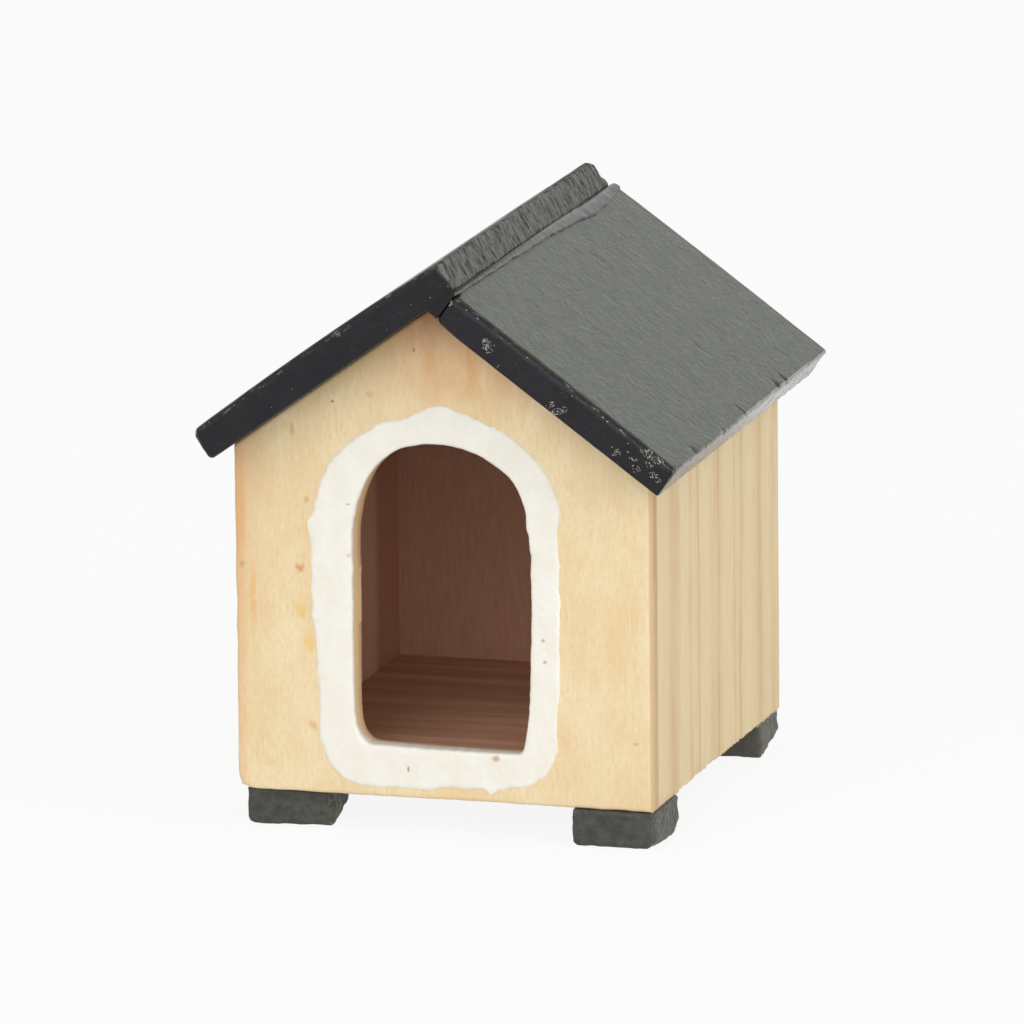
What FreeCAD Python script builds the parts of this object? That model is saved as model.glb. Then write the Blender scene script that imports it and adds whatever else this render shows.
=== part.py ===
import FreeCAD, Part
import math
import os

from FreeCAD import Vector

# A doll's-house dog house, about a twelfth of full size: a wooden box with an
# arched doorway, a two-board pitched roof and four block feet, all glued.
# Millimetres.  +X is right and +Y is back, seen from the doorway.  +Z is up.
# The pieces are drawn with x = 0 midway along the front panel, y = 0 on its
# front face and z = 0 on the ground.  At the end they move together, so that
# the middle of the whole outline stands over the origin.

# Walls
WALL_WIDTH = 51.0               # front and back panels, edge to edge
HOUSE_DEPTH = 55.6              # front panel's face to back panel's face
EAVE_HEIGHT = 46.0              # ground to the outer top edge of a side wall
FRONT_THICKNESS = 2.9
BACK_THICKNESS = 2.9
SIDE_THICKNESS = 3.8
FLOOR_THICKNESS = 4.6
PANEL_EASE = 0.3                # sanded outer edges of the front and back panels

# Feet
FOOT_HEIGHT = 4.4
FOOT_WIDTH = 10.35
FOOT_EASE = 0.6
# The feet are cut and placed by hand.  For each: its inset from the side wall's
# face, its inset from the panel's face (negative where it stands proud), its
# depth from front to back, and the degrees that it is turned on the spot.
FRONT_LEFT_FOOT = (0.55, 1.00, 9.2, 6.4)
FRONT_RIGHT_FOOT = (-0.55, -0.45, 10.5, 0.8)
REAR_LEFT_FOOT = (0.40, 0.30, 9.8, -2.0)
REAR_RIGHT_FOOT = (0.10, -0.10, 9.0, 2.5)

# Roof: at the ridge the left board runs on over the end of the right board
ROOF_PITCH = 35.8               # degrees above level
ROOF_THICKNESS = 4.05
ROOF_EASE = 0.5                 # rounded edges under the paint
FRONT_OVERHANG = 6.45
REAR_OVERHANG = 5.6
LEFT_EAVE = 1.2                 # down the slope from the side wall's top
RIGHT_EAVE = 3.5
RIDGE_LAP = 0.95                # left board's end past the right board's top face
RIDGE_SKEW = 1.5                # what that hand-sawn end loses towards the back
EAVE_SKEW = 0.65                # what the right board's eave loses towards the back
RIDGE_GAP = 0.3                 # open joint at the right board's upper end

# Doorway: a level sill with round corners, two jambs and an arch that was sawn
# by eye, so its crown stands left of the middle and the right jamb leans in
DOOR_WIDTH = 21.5               # where the arch begins
DOOR_OFFSET = 0.0               # from the panel's middle to the doorway's
SILL_HEIGHT = 6.1               # above the panel's lower edge
JAMB_HEIGHT = 26.65             # sill to the start of the arch
JAMB_LEAN = 0.5                 # what the right jamb comes in by at the sill
ARCH_RISE = 10.1
ARCH_LEAN = 0.8                 # from the doorway's middle to the crown
DOOR_CORNER = 1.6
ARCH_STEP = 15                  # degrees between the points that carry the arch

# Painted band round the doorway: the thickness of the coat, and the width
# that the brush left at places along the doorway's edge
BAND_COAT = 0.2
BAND_SILL = ((0.90, 4.3), (0.70, 4.5), (0.45, 4.6), (0.10, 5.0))    # share of the width
BAND_LEFT_CORNER = 4.1
BAND_LEFT_JAMB = ((0.0, 4.3), (0.3, 4.65), (0.65, 5.3))             # share of the height
BAND_ARCH = (                                                       # degrees from the right
    (180, 5.6), (165, 5.1), (150, 4.9), (130, 4.1), (110, 3.5), (90, 4.7), (75, 4.1), (50, 4.1), (25, 4.2),
)
BAND_RIGHT_JAMB = ((1.0, 3.5), (0.5, 3.6), (0.05, 3.7))
BAND_RIGHT_CORNER = 3.1

PITCH = math.radians(ROOF_PITCH)
WALL_HALF = WALL_WIDTH / 2
DOOR_HALF = DOOR_WIDTH / 2
SILL = FOOT_HEIGHT + SILL_HEIGHT
SPRING = SILL + JAMB_HEIGHT     # where the jambs end and the arch begins
LEFT, RIGHT = -1, 1
FRONT, REAR = -1, 1
NEAR = 1e-6


def prism(outline, sweep):
    """Solid swept from a flat outline with straight sides."""
    return Part.Face(Part.makePolygon(outline + outline[:1])).extrude(sweep)


def block(x_range, y_range, z_range):
    """Box between two limits along each axis."""
    low, high = zip(*(sorted(limits) for limits in (x_range, y_range, z_range)))
    size = Vector(*high) - Vector(*low)
    return Part.makeBox(size.x, size.y, size.z, Vector(*low))


def eased(solid, radius, chosen):
    """The solid with its chosen edges rounded."""
    return solid.makeFillet(radius, [edge for edge in solid.Edges if chosen(edge)])


def slope_point(side, up, lift, y):
    """Point of a roof slope: up it from the wall's outer top edge, and lifted off it."""
    x = WALL_HALF - up * math.cos(PITCH) + lift * math.sin(PITCH)
    z = EAVE_HEIGHT + up * math.sin(PITCH) + lift * math.cos(PITCH)
    return Vector(side * x, y, z)


def jamb_point(side, share, width, y):
    """Point beside a jamb, a share of the way up it and a width away from it."""
    lean = JAMB_LEAN * (1 - share) if side == RIGHT else 0
    return Vector(DOOR_OFFSET + side * (DOOR_HALF - lean + width), y, SILL + share * JAMB_HEIGHT)


def corner_point(side, width, y):
    """Point a width outside a lower corner of the doorway, on its diagonal."""
    reach = width / math.sqrt(2)
    return jamb_point(side, 0, reach, y) - Vector(0, 0, reach)


def sill_point(share, width, y):
    """Point below the sill, a share of the way across it from the left."""
    left, right = jamb_point(LEFT, 0, 0, y), jamb_point(RIGHT, 0, 0, y)
    return left + (right - left) * share - Vector(0, 0, width)


def arch_point(degrees, width, y):
    """Point a width outside the arch, at an angle round from its right end."""
    angle = math.radians(degrees)
    across, up = math.cos(angle), math.sin(angle)
    reach = DOOR_HALF + ARCH_LEAN if across > 0 else DOOR_HALF - ARCH_LEAN
    outward = Vector(across / reach, 0, up / ARCH_RISE).normalize()
    on_arch = Vector(DOOR_OFFSET - ARCH_LEAN + reach * across, y, SPRING + ARCH_RISE * up)
    return on_arch + outward * width


def doorway(front, back):
    """Solid that fills the doorway between two planes across y."""
    arch = Part.BSplineCurve()
    arch.interpolate([arch_point(degrees, 0, front) for degrees in range(0, 181, ARCH_STEP)])
    corners = [
        jamb_point(LEFT, 1, 0, front),
        jamb_point(LEFT, 0, 0, front),
        jamb_point(RIGHT, 0, 0, front),
        jamb_point(RIGHT, 1, 0, front),
    ]
    outline = Part.Wire([arch.toShape()] + Part.makePolygon(corners).Edges)
    filling = Part.Face(outline).extrude(Vector(0, back - front, 0))

    def sill_corner(edge):
        box = edge.BoundBox
        return box.YLength > box.XLength + box.ZLength and abs(box.ZMin - SILL) < NEAR

    return eased(filling, DOOR_CORNER, sill_corner)


def gable_panel(outer, inner):
    """End wall from its outer face to its inner face, peaked to fit the roof."""
    outline = [
        Vector(-WALL_HALF, outer, FOOT_HEIGHT),
        Vector(WALL_HALF, outer, FOOT_HEIGHT),
        Vector(WALL_HALF, outer, EAVE_HEIGHT),
        Vector(0, outer, EAVE_HEIGHT + WALL_HALF * math.tan(PITCH)),
        Vector(-WALL_HALF, outer, EAVE_HEIGHT),
    ]
    panel = prism(outline, Vector(0, inner - outer, 0))

    def outside_edge(edge):
        box = edge.BoundBox
        below_roof = edge.CenterOfMass.z < EAVE_HEIGHT
        return below_roof and abs(box.YMin - outer) < NEAR and abs(box.YMax - outer) < NEAR

    return eased(panel, PANEL_EASE, outside_edge)


def front_wall():
    """Front panel with its doorway."""
    through = FRONT_THICKNESS / 2
    return gable_panel(0, FRONT_THICKNESS).cut(doorway(-through, FRONT_THICKNESS + through))


def back_wall():
    """Plain back panel."""
    return gable_panel(HOUSE_DEPTH, HOUSE_DEPTH - BACK_THICKNESS)


def side_wall(side):
    """Side wall between the end panels, its top bevelled to the roof's slope."""
    outer, inner = side * WALL_HALF, side * (WALL_HALF - SIDE_THICKNESS)
    y = FRONT_THICKNESS
    outline = [
        Vector(outer, y, FOOT_HEIGHT),
        Vector(outer, y, EAVE_HEIGHT),
        Vector(inner, y, EAVE_HEIGHT + SIDE_THICKNESS * math.tan(PITCH)),
        Vector(inner, y, FOOT_HEIGHT),
    ]
    return prism(outline, Vector(0, HOUSE_DEPTH - BACK_THICKNESS - FRONT_THICKNESS, 0))


def floor_board():
    """Floor inside the four walls, level with their lower edges."""
    half = WALL_HALF - SIDE_THICKNESS
    depth = (FRONT_THICKNESS, HOUSE_DEPTH - BACK_THICKNESS)
    return block((-half, half), depth, (FOOT_HEIGHT, FOOT_HEIGHT + FLOOR_THICKNESS))


def foot(side, end, side_inset, end_inset, depth, turn):
    """Block foot under one corner, rounded on all edges but those of its top."""
    outer = side * (WALL_HALF - side_inset)
    face = end_inset if end == FRONT else HOUSE_DEPTH - end_inset
    whole = block((outer, outer - side * FOOT_WIDTH), (face, face - end * depth), (0, FOOT_HEIGHT))
    cut = eased(whole, FOOT_EASE, lambda edge: edge.CenterOfMass.z < FOOT_HEIGHT - NEAR)
    cut.rotate(whole.CenterOfMass, Vector(0, 0, 1), turn)
    return cut


def roof_board(side, eave, eave_skew, ridge, ridge_skew):
    """Roof board on one slope, from below the wall's top to a reach up towards the ridge."""
    front, back = -FRONT_OVERHANG, HOUSE_DEPTH + REAR_OVERHANG
    underside = [
        slope_point(side, -eave, 0, front),
        slope_point(side, eave_skew - eave, 0, back),
        slope_point(side, ridge - ridge_skew, 0, back),
        slope_point(side, ridge, 0, front),
    ]
    off_slope = slope_point(side, 0, ROOF_THICKNESS, 0) - slope_point(side, 0, 0, 0)
    return eased(prism(underside, off_slope), ROOF_EASE, lambda edge: True)


def roof():
    """Both boards.  The right board's top face runs up to meet the left one's underside."""
    meeting = ROOF_THICKNESS / (2 * math.sin(PITCH))        # how far right of the peak they meet
    left_ridge = (WALL_HALF + meeting) / math.cos(PITCH) + RIDGE_LAP
    # The right board's upper corner is round, and its round touches the left board
    round_centre = ROOF_THICKNESS - ROOF_EASE
    right_ridge = (WALL_HALF - meeting + round_centre * math.sin(PITCH)) / math.cos(PITCH)
    right_ridge += ROOF_EASE - RIDGE_GAP
    return {
        "left_roof_board": roof_board(LEFT, LEFT_EAVE, 0, left_ridge, RIDGE_SKEW),
        "right_roof_board": roof_board(RIGHT, RIGHT_EAVE, EAVE_SKEW, right_ridge, 0),
    }


def doorway_band():
    """Coat of paint on the front panel, from the doorway's edge to a hand-brushed outline."""
    points = [sill_point(share, width, 0) for share, width in BAND_SILL]
    points += [corner_point(LEFT, BAND_LEFT_CORNER, 0)]
    points += [jamb_point(LEFT, share, width, 0) for share, width in BAND_LEFT_JAMB]
    points += [arch_point(degrees, width, 0) for degrees, width in BAND_ARCH]
    points += [jamb_point(RIGHT, share, width, 0) for share, width in BAND_RIGHT_JAMB]
    points += [corner_point(RIGHT, BAND_RIGHT_CORNER, 0)]
    brushed = Part.BSplineCurve()
    brushed.interpolate(Points=points, PeriodicFlag=True)
    coat = Part.Face(Part.Wire(brushed.toShape())).extrude(Vector(0, -BAND_COAT, 0))
    return coat.cut(doorway(-2 * BAND_COAT, BAND_COAT))


def house():
    """Every piece by name, where it is drawn."""
    pieces = {
        "front_wall": front_wall(),
        "back_wall": back_wall(),
        "left_wall": side_wall(LEFT),
        "right_wall": side_wall(RIGHT),
        "floor": floor_board(),
        "doorway_band": doorway_band(),
        "front_left_foot": foot(LEFT, FRONT, *FRONT_LEFT_FOOT),
        "front_right_foot": foot(RIGHT, FRONT, *FRONT_RIGHT_FOOT),
        "rear_left_foot": foot(LEFT, REAR, *REAR_LEFT_FOOT),
        "rear_right_foot": foot(RIGHT, REAR, *REAR_RIGHT_FOOT),
    }
    pieces.update(roof())
    return pieces


def main():
    os.makedirs("parts", exist_ok=True)
    pieces = house()
    outline = Part.makeCompound(list(pieces.values())).optimalBoundingBox()
    to_origin = Vector(-outline.Center.x, -outline.Center.y, 0)
    for name, piece in pieces.items():
        solid = piece.Solids[0]
        solid.translate(to_origin)
        if len(piece.Solids) != 1 or not solid.isValid():
            raise ValueError(name + " is not one sound solid")
        solid.exportStep("parts/" + name + ".step")
        print(name, round(solid.Volume, 2), "mm3")
    print("moved by", round(to_origin.x, 4), round(to_origin.y, 4))
    print("outline", round(outline.XLength, 3), round(outline.YLength, 3), round(outline.ZLength, 3))


main()
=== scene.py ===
# %% [markdown]
# # A doll's-house dog house
#
# The object is a small wooden dog house, about a twelfth of full size: a box of
# thin boards, an arched doorway with a hand-brushed white border, a black roof
# of two boards and four black block feet.  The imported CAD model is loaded
# first.  It says where everything is, so nothing here has to be fitted by eye.

import math

import bpy
import numpy as np
from mathutils import Matrix, Vector
from mathutils.bvhtree import BVHTree


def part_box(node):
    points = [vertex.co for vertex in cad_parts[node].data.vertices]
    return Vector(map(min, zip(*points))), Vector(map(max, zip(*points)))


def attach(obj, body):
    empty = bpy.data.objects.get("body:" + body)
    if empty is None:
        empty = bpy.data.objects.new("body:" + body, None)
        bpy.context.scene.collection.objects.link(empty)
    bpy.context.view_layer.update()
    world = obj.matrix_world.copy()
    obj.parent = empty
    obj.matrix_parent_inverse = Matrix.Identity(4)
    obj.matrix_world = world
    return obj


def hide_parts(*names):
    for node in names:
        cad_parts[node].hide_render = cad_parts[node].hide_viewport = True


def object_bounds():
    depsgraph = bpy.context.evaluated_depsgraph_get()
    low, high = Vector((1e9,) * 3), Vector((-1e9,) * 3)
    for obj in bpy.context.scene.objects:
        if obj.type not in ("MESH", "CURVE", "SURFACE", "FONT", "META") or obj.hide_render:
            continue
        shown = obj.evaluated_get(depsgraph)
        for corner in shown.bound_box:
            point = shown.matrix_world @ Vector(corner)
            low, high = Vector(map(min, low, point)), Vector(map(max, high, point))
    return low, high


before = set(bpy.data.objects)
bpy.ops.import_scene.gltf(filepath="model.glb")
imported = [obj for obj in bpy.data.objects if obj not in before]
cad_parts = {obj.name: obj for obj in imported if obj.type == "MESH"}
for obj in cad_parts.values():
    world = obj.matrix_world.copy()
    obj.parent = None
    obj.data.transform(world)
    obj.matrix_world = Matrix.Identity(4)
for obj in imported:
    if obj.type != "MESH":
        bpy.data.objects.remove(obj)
cad_low, cad_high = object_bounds()
print("CAD nodes:", ", ".join(sorted(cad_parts)))

# %% [markdown]
# ## One set of coordinates for the hand work
#
# A maker would measure this house from its front panel: sideways from the
# panel's middle, back from its face and up from the ground.  Millimetres are
# the natural unit at this size, so every shape below is drawn that way and
# turned into Blender's metres at the last moment.

# %% House coordinates
MM = 0.001
panel_low, panel_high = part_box("front_wall")
HOUSE_ORIGIN = np.array([(panel_low.x + panel_high.x) / 2, panel_low.y, 0.0]) / MM
WALL_HALF = (panel_high.x - panel_low.x) / 2 / MM
GROUND_GAP = panel_low.z / MM
PANEL = (panel_high.y - panel_low.y) / MM
DEPTH = (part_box("back_wall")[1].y - panel_low.y) / MM
PITCH = math.radians(35.8)
EAVE_HEIGHT = 46.0
SIDE = 3.8                                   # a side board
THICK = 4.05                                 # a roof board
FRONT_OVER, REAR_OVER = 6.45, 5.6            # how far the roof stands out
ROOF_TOP = EAVE_HEIGHT * math.cos(PITCH) + WALL_HALF * math.sin(PITCH) + THICK
print("half width", round(WALL_HALF, 2), "depth", round(DEPTH, 2), "gap", round(GROUND_GAP, 2))

# %% [markdown]
# ## The camera
#
# The photograph was taken from far away with a long lens, a little to the
# right and a little above, so the upright edges stay almost parallel.  The
# camera's three axes are worked out from those two angles and a very small
# roll, which is clearer than turning a camera object by hand.

# %% Camera
YAW, TILT, ROLL = math.radians(16.859), math.radians(12.637), math.radians(-0.555)
AIM = np.array([0.0, 25.5, 29.423])
DISTANCE, SLIDE, RISE = 1786.69, -0.895, -4.196
FOCAL_PIXELS, FRAME_PIXELS = 15000, 1024


def camera_axes():
    """The camera's right, up and backward directions."""
    back = np.array([math.sin(YAW) * math.cos(TILT), -math.cos(YAW) * math.cos(TILT),
                     math.sin(TILT)])
    level = np.array([math.cos(YAW), math.sin(YAW), 0.0])
    upright = np.cross(back, level)
    right = math.cos(ROLL) * level + math.sin(ROLL) * upright
    return right, math.cos(ROLL) * upright - math.sin(ROLL) * level, back


def add_camera():
    right, up, back = camera_axes()
    place = (AIM + DISTANCE * back - SLIDE * right - RISE * up + HOUSE_ORIGIN) * MM
    data = bpy.data.cameras.new("camera")
    data.sensor_width = 36.0
    data.lens = FOCAL_PIXELS * data.sensor_width / FRAME_PIXELS
    data.clip_start, data.clip_end = 0.1, 20.0
    camera = bpy.data.objects.new("camera", data)
    turn = Matrix((right, up, back)).transposed()
    camera.matrix_world = Matrix.Translation(Vector(place)) @ turn.to_4x4()
    bpy.context.scene.collection.objects.link(camera)
    bpy.context.scene.camera = camera
    return camera


camera = add_camera()
print("camera at", [round(c, 3) for c in camera.matrix_world.translation])

# %% [markdown]
# ## Short words for node trees
#
# Materials and Geometry Nodes are both trees of nodes.  Wiring them needs the
# same few moves again and again, so a small helper holds them: add a node,
# do sums, mix colours, ask for noise of a given size in millimetres.

# %% Node helper
def colour(red, green, blue):
    """A colour as a screen shows it, 0 to 255, turned into the light values that nodes use."""
    def light(level):
        share = level / 255
        return share / 12.92 if share <= 0.04045 else ((share + 0.055) / 1.055) ** 2.4
    return light(red), light(green), light(blue), 1.0


class Wiring:
    """Adds and joins nodes in one tree."""

    def __init__(self, tree):
        self.tree = tree

    def add(self, kind, inputs=None, **settings):
        node = self.tree.nodes.new(kind)
        for key, value in settings.items():
            setattr(node, key, value)
        for key, value in (inputs or {}).items():
            self.feed(node.inputs[key], value)
        return node

    def feed(self, socket, value):
        if isinstance(value, bpy.types.NodeSocket):
            self.tree.links.new(value, socket)
        else:
            socket.default_value = value

    def math(self, operation, *values):
        return self.add("ShaderNodeMath", dict(enumerate(values)), operation=operation).outputs[0]

    def vector(self, operation, *values):
        return self.add("ShaderNodeVectorMath", dict(enumerate(values)),
                        operation=operation).outputs[0]

    def split(self, vector):
        return self.add("ShaderNodeSeparateXYZ", {0: vector}).outputs

    def join(self, x, y, z):
        return self.add("ShaderNodeCombineXYZ", {0: x, 1: y, 2: z}).outputs[0]

    def between(self, value, low, high):
        """0 at low, 1 at high, smooth between."""
        inputs = {0: value, 1: low, 2: high, 3: 0.0, 4: 1.0}
        return self.add("ShaderNodeMapRange", inputs, interpolation_type="SMOOTHSTEP").outputs[0]

    def times(self, *factors):
        """The product of some values; two masks multiplied are where both are 1."""
        product = factors[0]
        for factor in factors[1:]:
            product = self.math("MULTIPLY", product, factor)
        return product

    def linear(self, value, slope, start):
        return self.math("MULTIPLY_ADD", value, slope, start)

    def flip(self, mask):
        """1 where the mask is 0."""
        return self.math("SUBTRACT", 1.0, mask)

    def mix(self, share, first, second):
        inputs = {0: share, 6: first, 7: second}
        return self.add("ShaderNodeMix", inputs, data_type="RGBA").outputs[2]

    def tint(self, base, mask, strength, shade):
        """Lays a shade over a base, at most as strongly as strength, where the mask is 1."""
        return self.mix(self.times(mask, strength), base, shade)

    def noise(self, position, size, detail=2.0, rough=0.5, bend=0.0, seed=0.0):
        """Noise whose lumps are size millimetres long along each axis."""
        scaled = self.vector("DIVIDE", position, size)
        inputs = {"Vector": scaled, "W": seed, "Scale": 1.0, "Detail": detail,
                  "Roughness": rough, "Distortion": bend}
        return self.add("ShaderNodeTexNoise", inputs, noise_dimensions="4D").outputs[0]

    def ramp(self, value, stops):
        """Colours along a value: stops are (place, colour)."""
        node = self.add("ShaderNodeValToRGB", {0: value})
        elements = node.color_ramp.elements
        while len(elements) < len(stops):
            elements.new(0.5)
        for element, (place, shade) in zip(elements, stops):
            element.position, element.color = place, shade
        return node.outputs[0]


# %% [markdown]
# ## The studio
#
# The picture has a pure white ground.  The floor here is pale too, and keeps a
# soft shadow: what the camera sees of it is part lit surface and part plain
# white.  From below it is see-through, so the underside can be looked at.

# %% Floor
FLOOR_REACH = 3.0
FLOOR_WHITE = 0.90


def seen_directly(wires):
    """1 for rays from the camera and for reflections, 0 for the light that falls on things."""
    path = wires.add("ShaderNodeLightPath").outputs
    seen = wires.math("MAXIMUM", path["Is Camera Ray"], path["Is Glossy Ray"])
    return wires.math("MAXIMUM", seen, path["Is Transmission Ray"])


def floor_material():
    material = bpy.data.materials.new("studio_floor")
    material.use_nodes = True
    material.node_tree.nodes.clear()
    wires = Wiring(material.node_tree)
    lit = wires.add("ShaderNodeBsdfDiffuse", {"Color": (0.86, 0.86, 0.86, 1)}).outputs[0]
    white = wires.add("ShaderNodeEmission", {"Color": (1, 1, 1, 1), "Strength": 1.0}).outputs[0]
    share = wires.times(seen_directly(wires), FLOOR_WHITE)
    ground = wires.add("ShaderNodeMixShader", {0: share, 1: lit, 2: white}).outputs[0]
    below = wires.add("ShaderNodeNewGeometry").outputs["Backfacing"]
    clear = wires.add("ShaderNodeBsdfTransparent").outputs[0]
    result = wires.add("ShaderNodeMixShader", {0: below, 1: ground, 2: clear}).outputs[0]
    wires.add("ShaderNodeOutputMaterial", {"Surface": result})
    return material


def add_floor():
    mesh = bpy.data.meshes.new("studio_floor")
    ring = [(FLOOR_REACH * math.cos(a), FLOOR_REACH * math.sin(a), 0.0)
            for a in np.linspace(0, 2 * math.pi, 64, endpoint=False)]
    mesh.from_pydata(ring, [], [list(range(64))])
    mesh.materials.append(floor_material())
    floor = bpy.data.objects.new("studio_floor", mesh)
    bpy.context.scene.collection.objects.link(floor)


add_floor()

# %% [markdown]
# ## Light
#
# A white tent lights the model evenly, and large soft lamps give it a little
# direction.  One stands over the front and one on the right.  A low one shines
# straight into the doorway, so the room behind it can be seen.  A weak one
# stands behind, where the roof mirrors it.  Reflections see the tent as plain
# white, which is what turns the black roof grey at a low angle.

# %% World and lamps
TENT_LIGHT = 0.50
LAMPS = (
    # name, place, width, power
    ("lamp_front", (-0.25, -0.95, 0.75), 0.90, 3.3),
    ("lamp_low", (0.25, -1.10, 0.28), 0.90, 2.7),
    ("lamp_right", (1.05, -0.35, 0.55), 0.80, 4.4),
    ("lamp_back", (0.12, 1.00, 0.40), 0.60, 0.25),
)


def add_world():
    world = bpy.data.worlds.new("tent")
    world.use_nodes = True
    world.node_tree.nodes.clear()
    wires = Wiring(world.node_tree)
    seen = seen_directly(wires)
    spread = wires.linear(seen, 1.0 - TENT_LIGHT, TENT_LIGHT)
    shade = wires.add("ShaderNodeBackground",
                      {"Color": (1, 1, 1, 1), "Strength": spread}).outputs[0]
    wires.add("ShaderNodeOutputWorld", {"Surface": shade})
    bpy.context.scene.world = world


def add_lamp(name, place, size, power):
    data = bpy.data.lights.new(name, "AREA")
    data.shape, data.size, data.energy = "DISK", size, power
    lamp = bpy.data.objects.new(name, data)
    lamp.location = place
    lamp.rotation_euler = (Vector((0, 0, 0.03)) - Vector(place)).to_track_quat("-Z", "Y").to_euler()
    lamp.visible_camera = False
    bpy.context.scene.collection.objects.link(lamp)


add_world()
for lamp in LAMPS:
    add_lamp(*lamp)
bpy.context.scene.view_settings.view_transform = "Standard"

# %% [markdown]
# ## Finishes: where a pattern gets its place
#
# Every finish reads the object's own coordinates, which here are the row
# frame's metres.  They are turned back into the house's millimetres, so a
# stain or a growth ring can be put where it is on the real one.

# %% Material helpers
def house_position(wires):
    metres = wires.add("ShaderNodeTexCoord").outputs["Object"]
    scaled = wires.vector("SCALE", metres)
    scaled.node.inputs["Scale"].default_value = 1 / MM
    return wires.vector("SUBTRACT", scaled, tuple(HOUSE_ORIGIN))


def new_material(name):
    material = bpy.data.materials.new(name)
    material.use_nodes = True
    material.node_tree.nodes.clear()
    return material, Wiring(material.node_tree)


def finish_material(wires, base, roughness, height, depth, **sockets):
    """The shader: colour and roughness from nodes, relief of a real depth in millimetres."""
    bump = wires.add("ShaderNodeBump", {"Height": height, "Strength": 1.0, "Distance": depth * MM})
    shader = wires.add("ShaderNodeBsdfPrincipled", {
        "Base Color": base, "Roughness": roughness, "Normal": bump.outputs[0], **sockets})
    wires.add("ShaderNodeOutputMaterial", {"Surface": shader.outputs[0]})


def spot(wires, position, centre, radii, edge=0.45):
    """1 inside a soft-edged spot, 0 outside; radii are its half sizes along each axis."""
    offset = wires.vector("DIVIDE", wires.vector("SUBTRACT", position, centre), radii)
    reach = wires.add("ShaderNodeVectorMath", {0: offset}, operation="LENGTH").outputs["Value"]
    return wires.flip(wires.between(reach, edge, 1.0))


# %% [markdown]
# ## Pale panel wood
#
# The end panels are a fine, pale board: short upright fibres, soft orange
# clouds and a few varnish stains.  Noise that is long along the fibres and
# thin across them gives the fibres.  Each stain is a soft spot with its own
# place, because stains follow no rule.

# %% Panel wood
PANEL_PALE = colour(245, 226, 184)
PANEL_TAN = colour(240, 214, 168)
PANEL_ORANGE = colour(236, 196, 140)
PANEL_FIBRE = colour(219, 181, 128)
PANEL_EDGE = colour(226, 188, 136)
PANEL_LIGHT = colour(250, 236, 202)
JAMB_TAN = colour(248, 212, 164)
# A painted shade tint for the inside faces: the browner, redder tone of the dim room.
INSIDE_SHADE_BROWN, INSIDE_SHADE_DARK = colour(204, 155, 130), colour(194, 144, 118)
GLUE_OLIVE = colour(204, 172, 106)
STAINS = (
    # place on the front face, half sizes, colour, strength
    ((-17.5, 0, 31.6), (0.75, 2, 0.9), colour(214, 140, 62), 0.75),
    ((-17.4, 0, 26.4), (1.3, 2, 1.5), colour(240, 196, 108), 0.60),
    ((-16.4, 0, 22.6), (1.1, 2, 2.2), colour(238, 196, 110), 0.60),
    ((-16.2, 0, 12.6), (0.8, 2, 0.9), colour(230, 170, 96), 0.60),
    ((-16.6, 0, 39.9), (0.5, 2, 0.6), colour(214, 160, 92), 0.60),
    ((-24.7, 0, 31.7), (0.5, 2, 0.6), colour(190, 130, 84), 0.60),
    ((-13.2, 0, 51.9), (0.32, 2, 0.42), colour(186, 112, 50), 0.80),
    ((-3.1, 0, 58.6), (0.32, 2, 0.45), colour(150, 96, 58), 0.60),
    ((-8.6, 0, 52.9), (0.7, 2, 0.6), colour(206, 150, 96), 0.40),
    ((-18.2, 0, 48.3), (0.5, 2, 1.0), colour(196, 150, 96), 0.50),
    ((23.7, 0, 12.6), (0.28, 2, 0.32), colour(196, 150, 96), 0.50),
    ((-23.3, 0, 28.0), (0.5, 2, 6.0), colour(238, 180, 110), 0.55),
    ((-24.9, 0, 38.0), (1.2, 2, 8.0), colour(228, 170, 108), 0.50),
    ((21.5, 0, 24.0), (2.2, 2, 9.0), colour(236, 196, 140), 0.40),
)


def below_left_roof(wires, across, up):
    """How far a place on the panel is below the left roof board, in millimetres."""
    slope = wires.linear(across, math.tan(PITCH), EAVE_HEIGHT + WALL_HALF * math.tan(PITCH))
    return wires.math("SUBTRACT", slope, up)


def panel_grain(wires, place):
    """The bare board's colour, and the noises that its marks and its relief use again."""
    clouds = wires.noise(place, (7.0, 7.0, 12.0), 3.0, 0.55)
    base = wires.mix(wires.between(clouds, 0.36, 0.62), PANEL_PALE, PANEL_TAN)
    blush = wires.noise(place, (3.2, 3.2, 6.5), 4.0, 0.6, 0.6, 7.0)
    base = wires.tint(base, wires.between(blush, 0.52, 0.74), 0.38, PANEL_ORANGE)
    fibres = wires.noise(place, (0.30, 0.30, 2.6), 4.0, 0.65)
    base = wires.tint(base, wires.between(fibres, 0.50, 0.78), 0.45, PANEL_FIBRE)
    base = wires.tint(base, wires.between(fibres, 0.46, 0.26), 0.40, PANEL_LIGHT)
    grains = wires.noise(place, (0.42, 0.42, 1.05), 3.0, 0.6, 0.4, 21.0)
    base = wires.tint(base, wires.between(grains, 0.42, 0.72), 0.36, colour(230, 194, 142))
    base = wires.tint(base, wires.between(grains, 0.44, 0.26), 0.28, colour(252, 240, 208))
    pores = wires.noise(place, (0.17, 0.17, 0.9), 2.0, 0.5, 0.0, 3.0)
    base = wires.tint(base, wires.between(pores, 0.62, 0.76), 0.16, colour(186, 138, 92))
    streaks = wires.noise(place, (0.8, 0.8, 40.0), 2.0, 0.5, 0.0, 5.0)
    base = wires.tint(base, wires.between(streaks, 0.60, 0.72), 0.35, PANEL_LIGHT)
    return base, blush, fibres, pores
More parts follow.
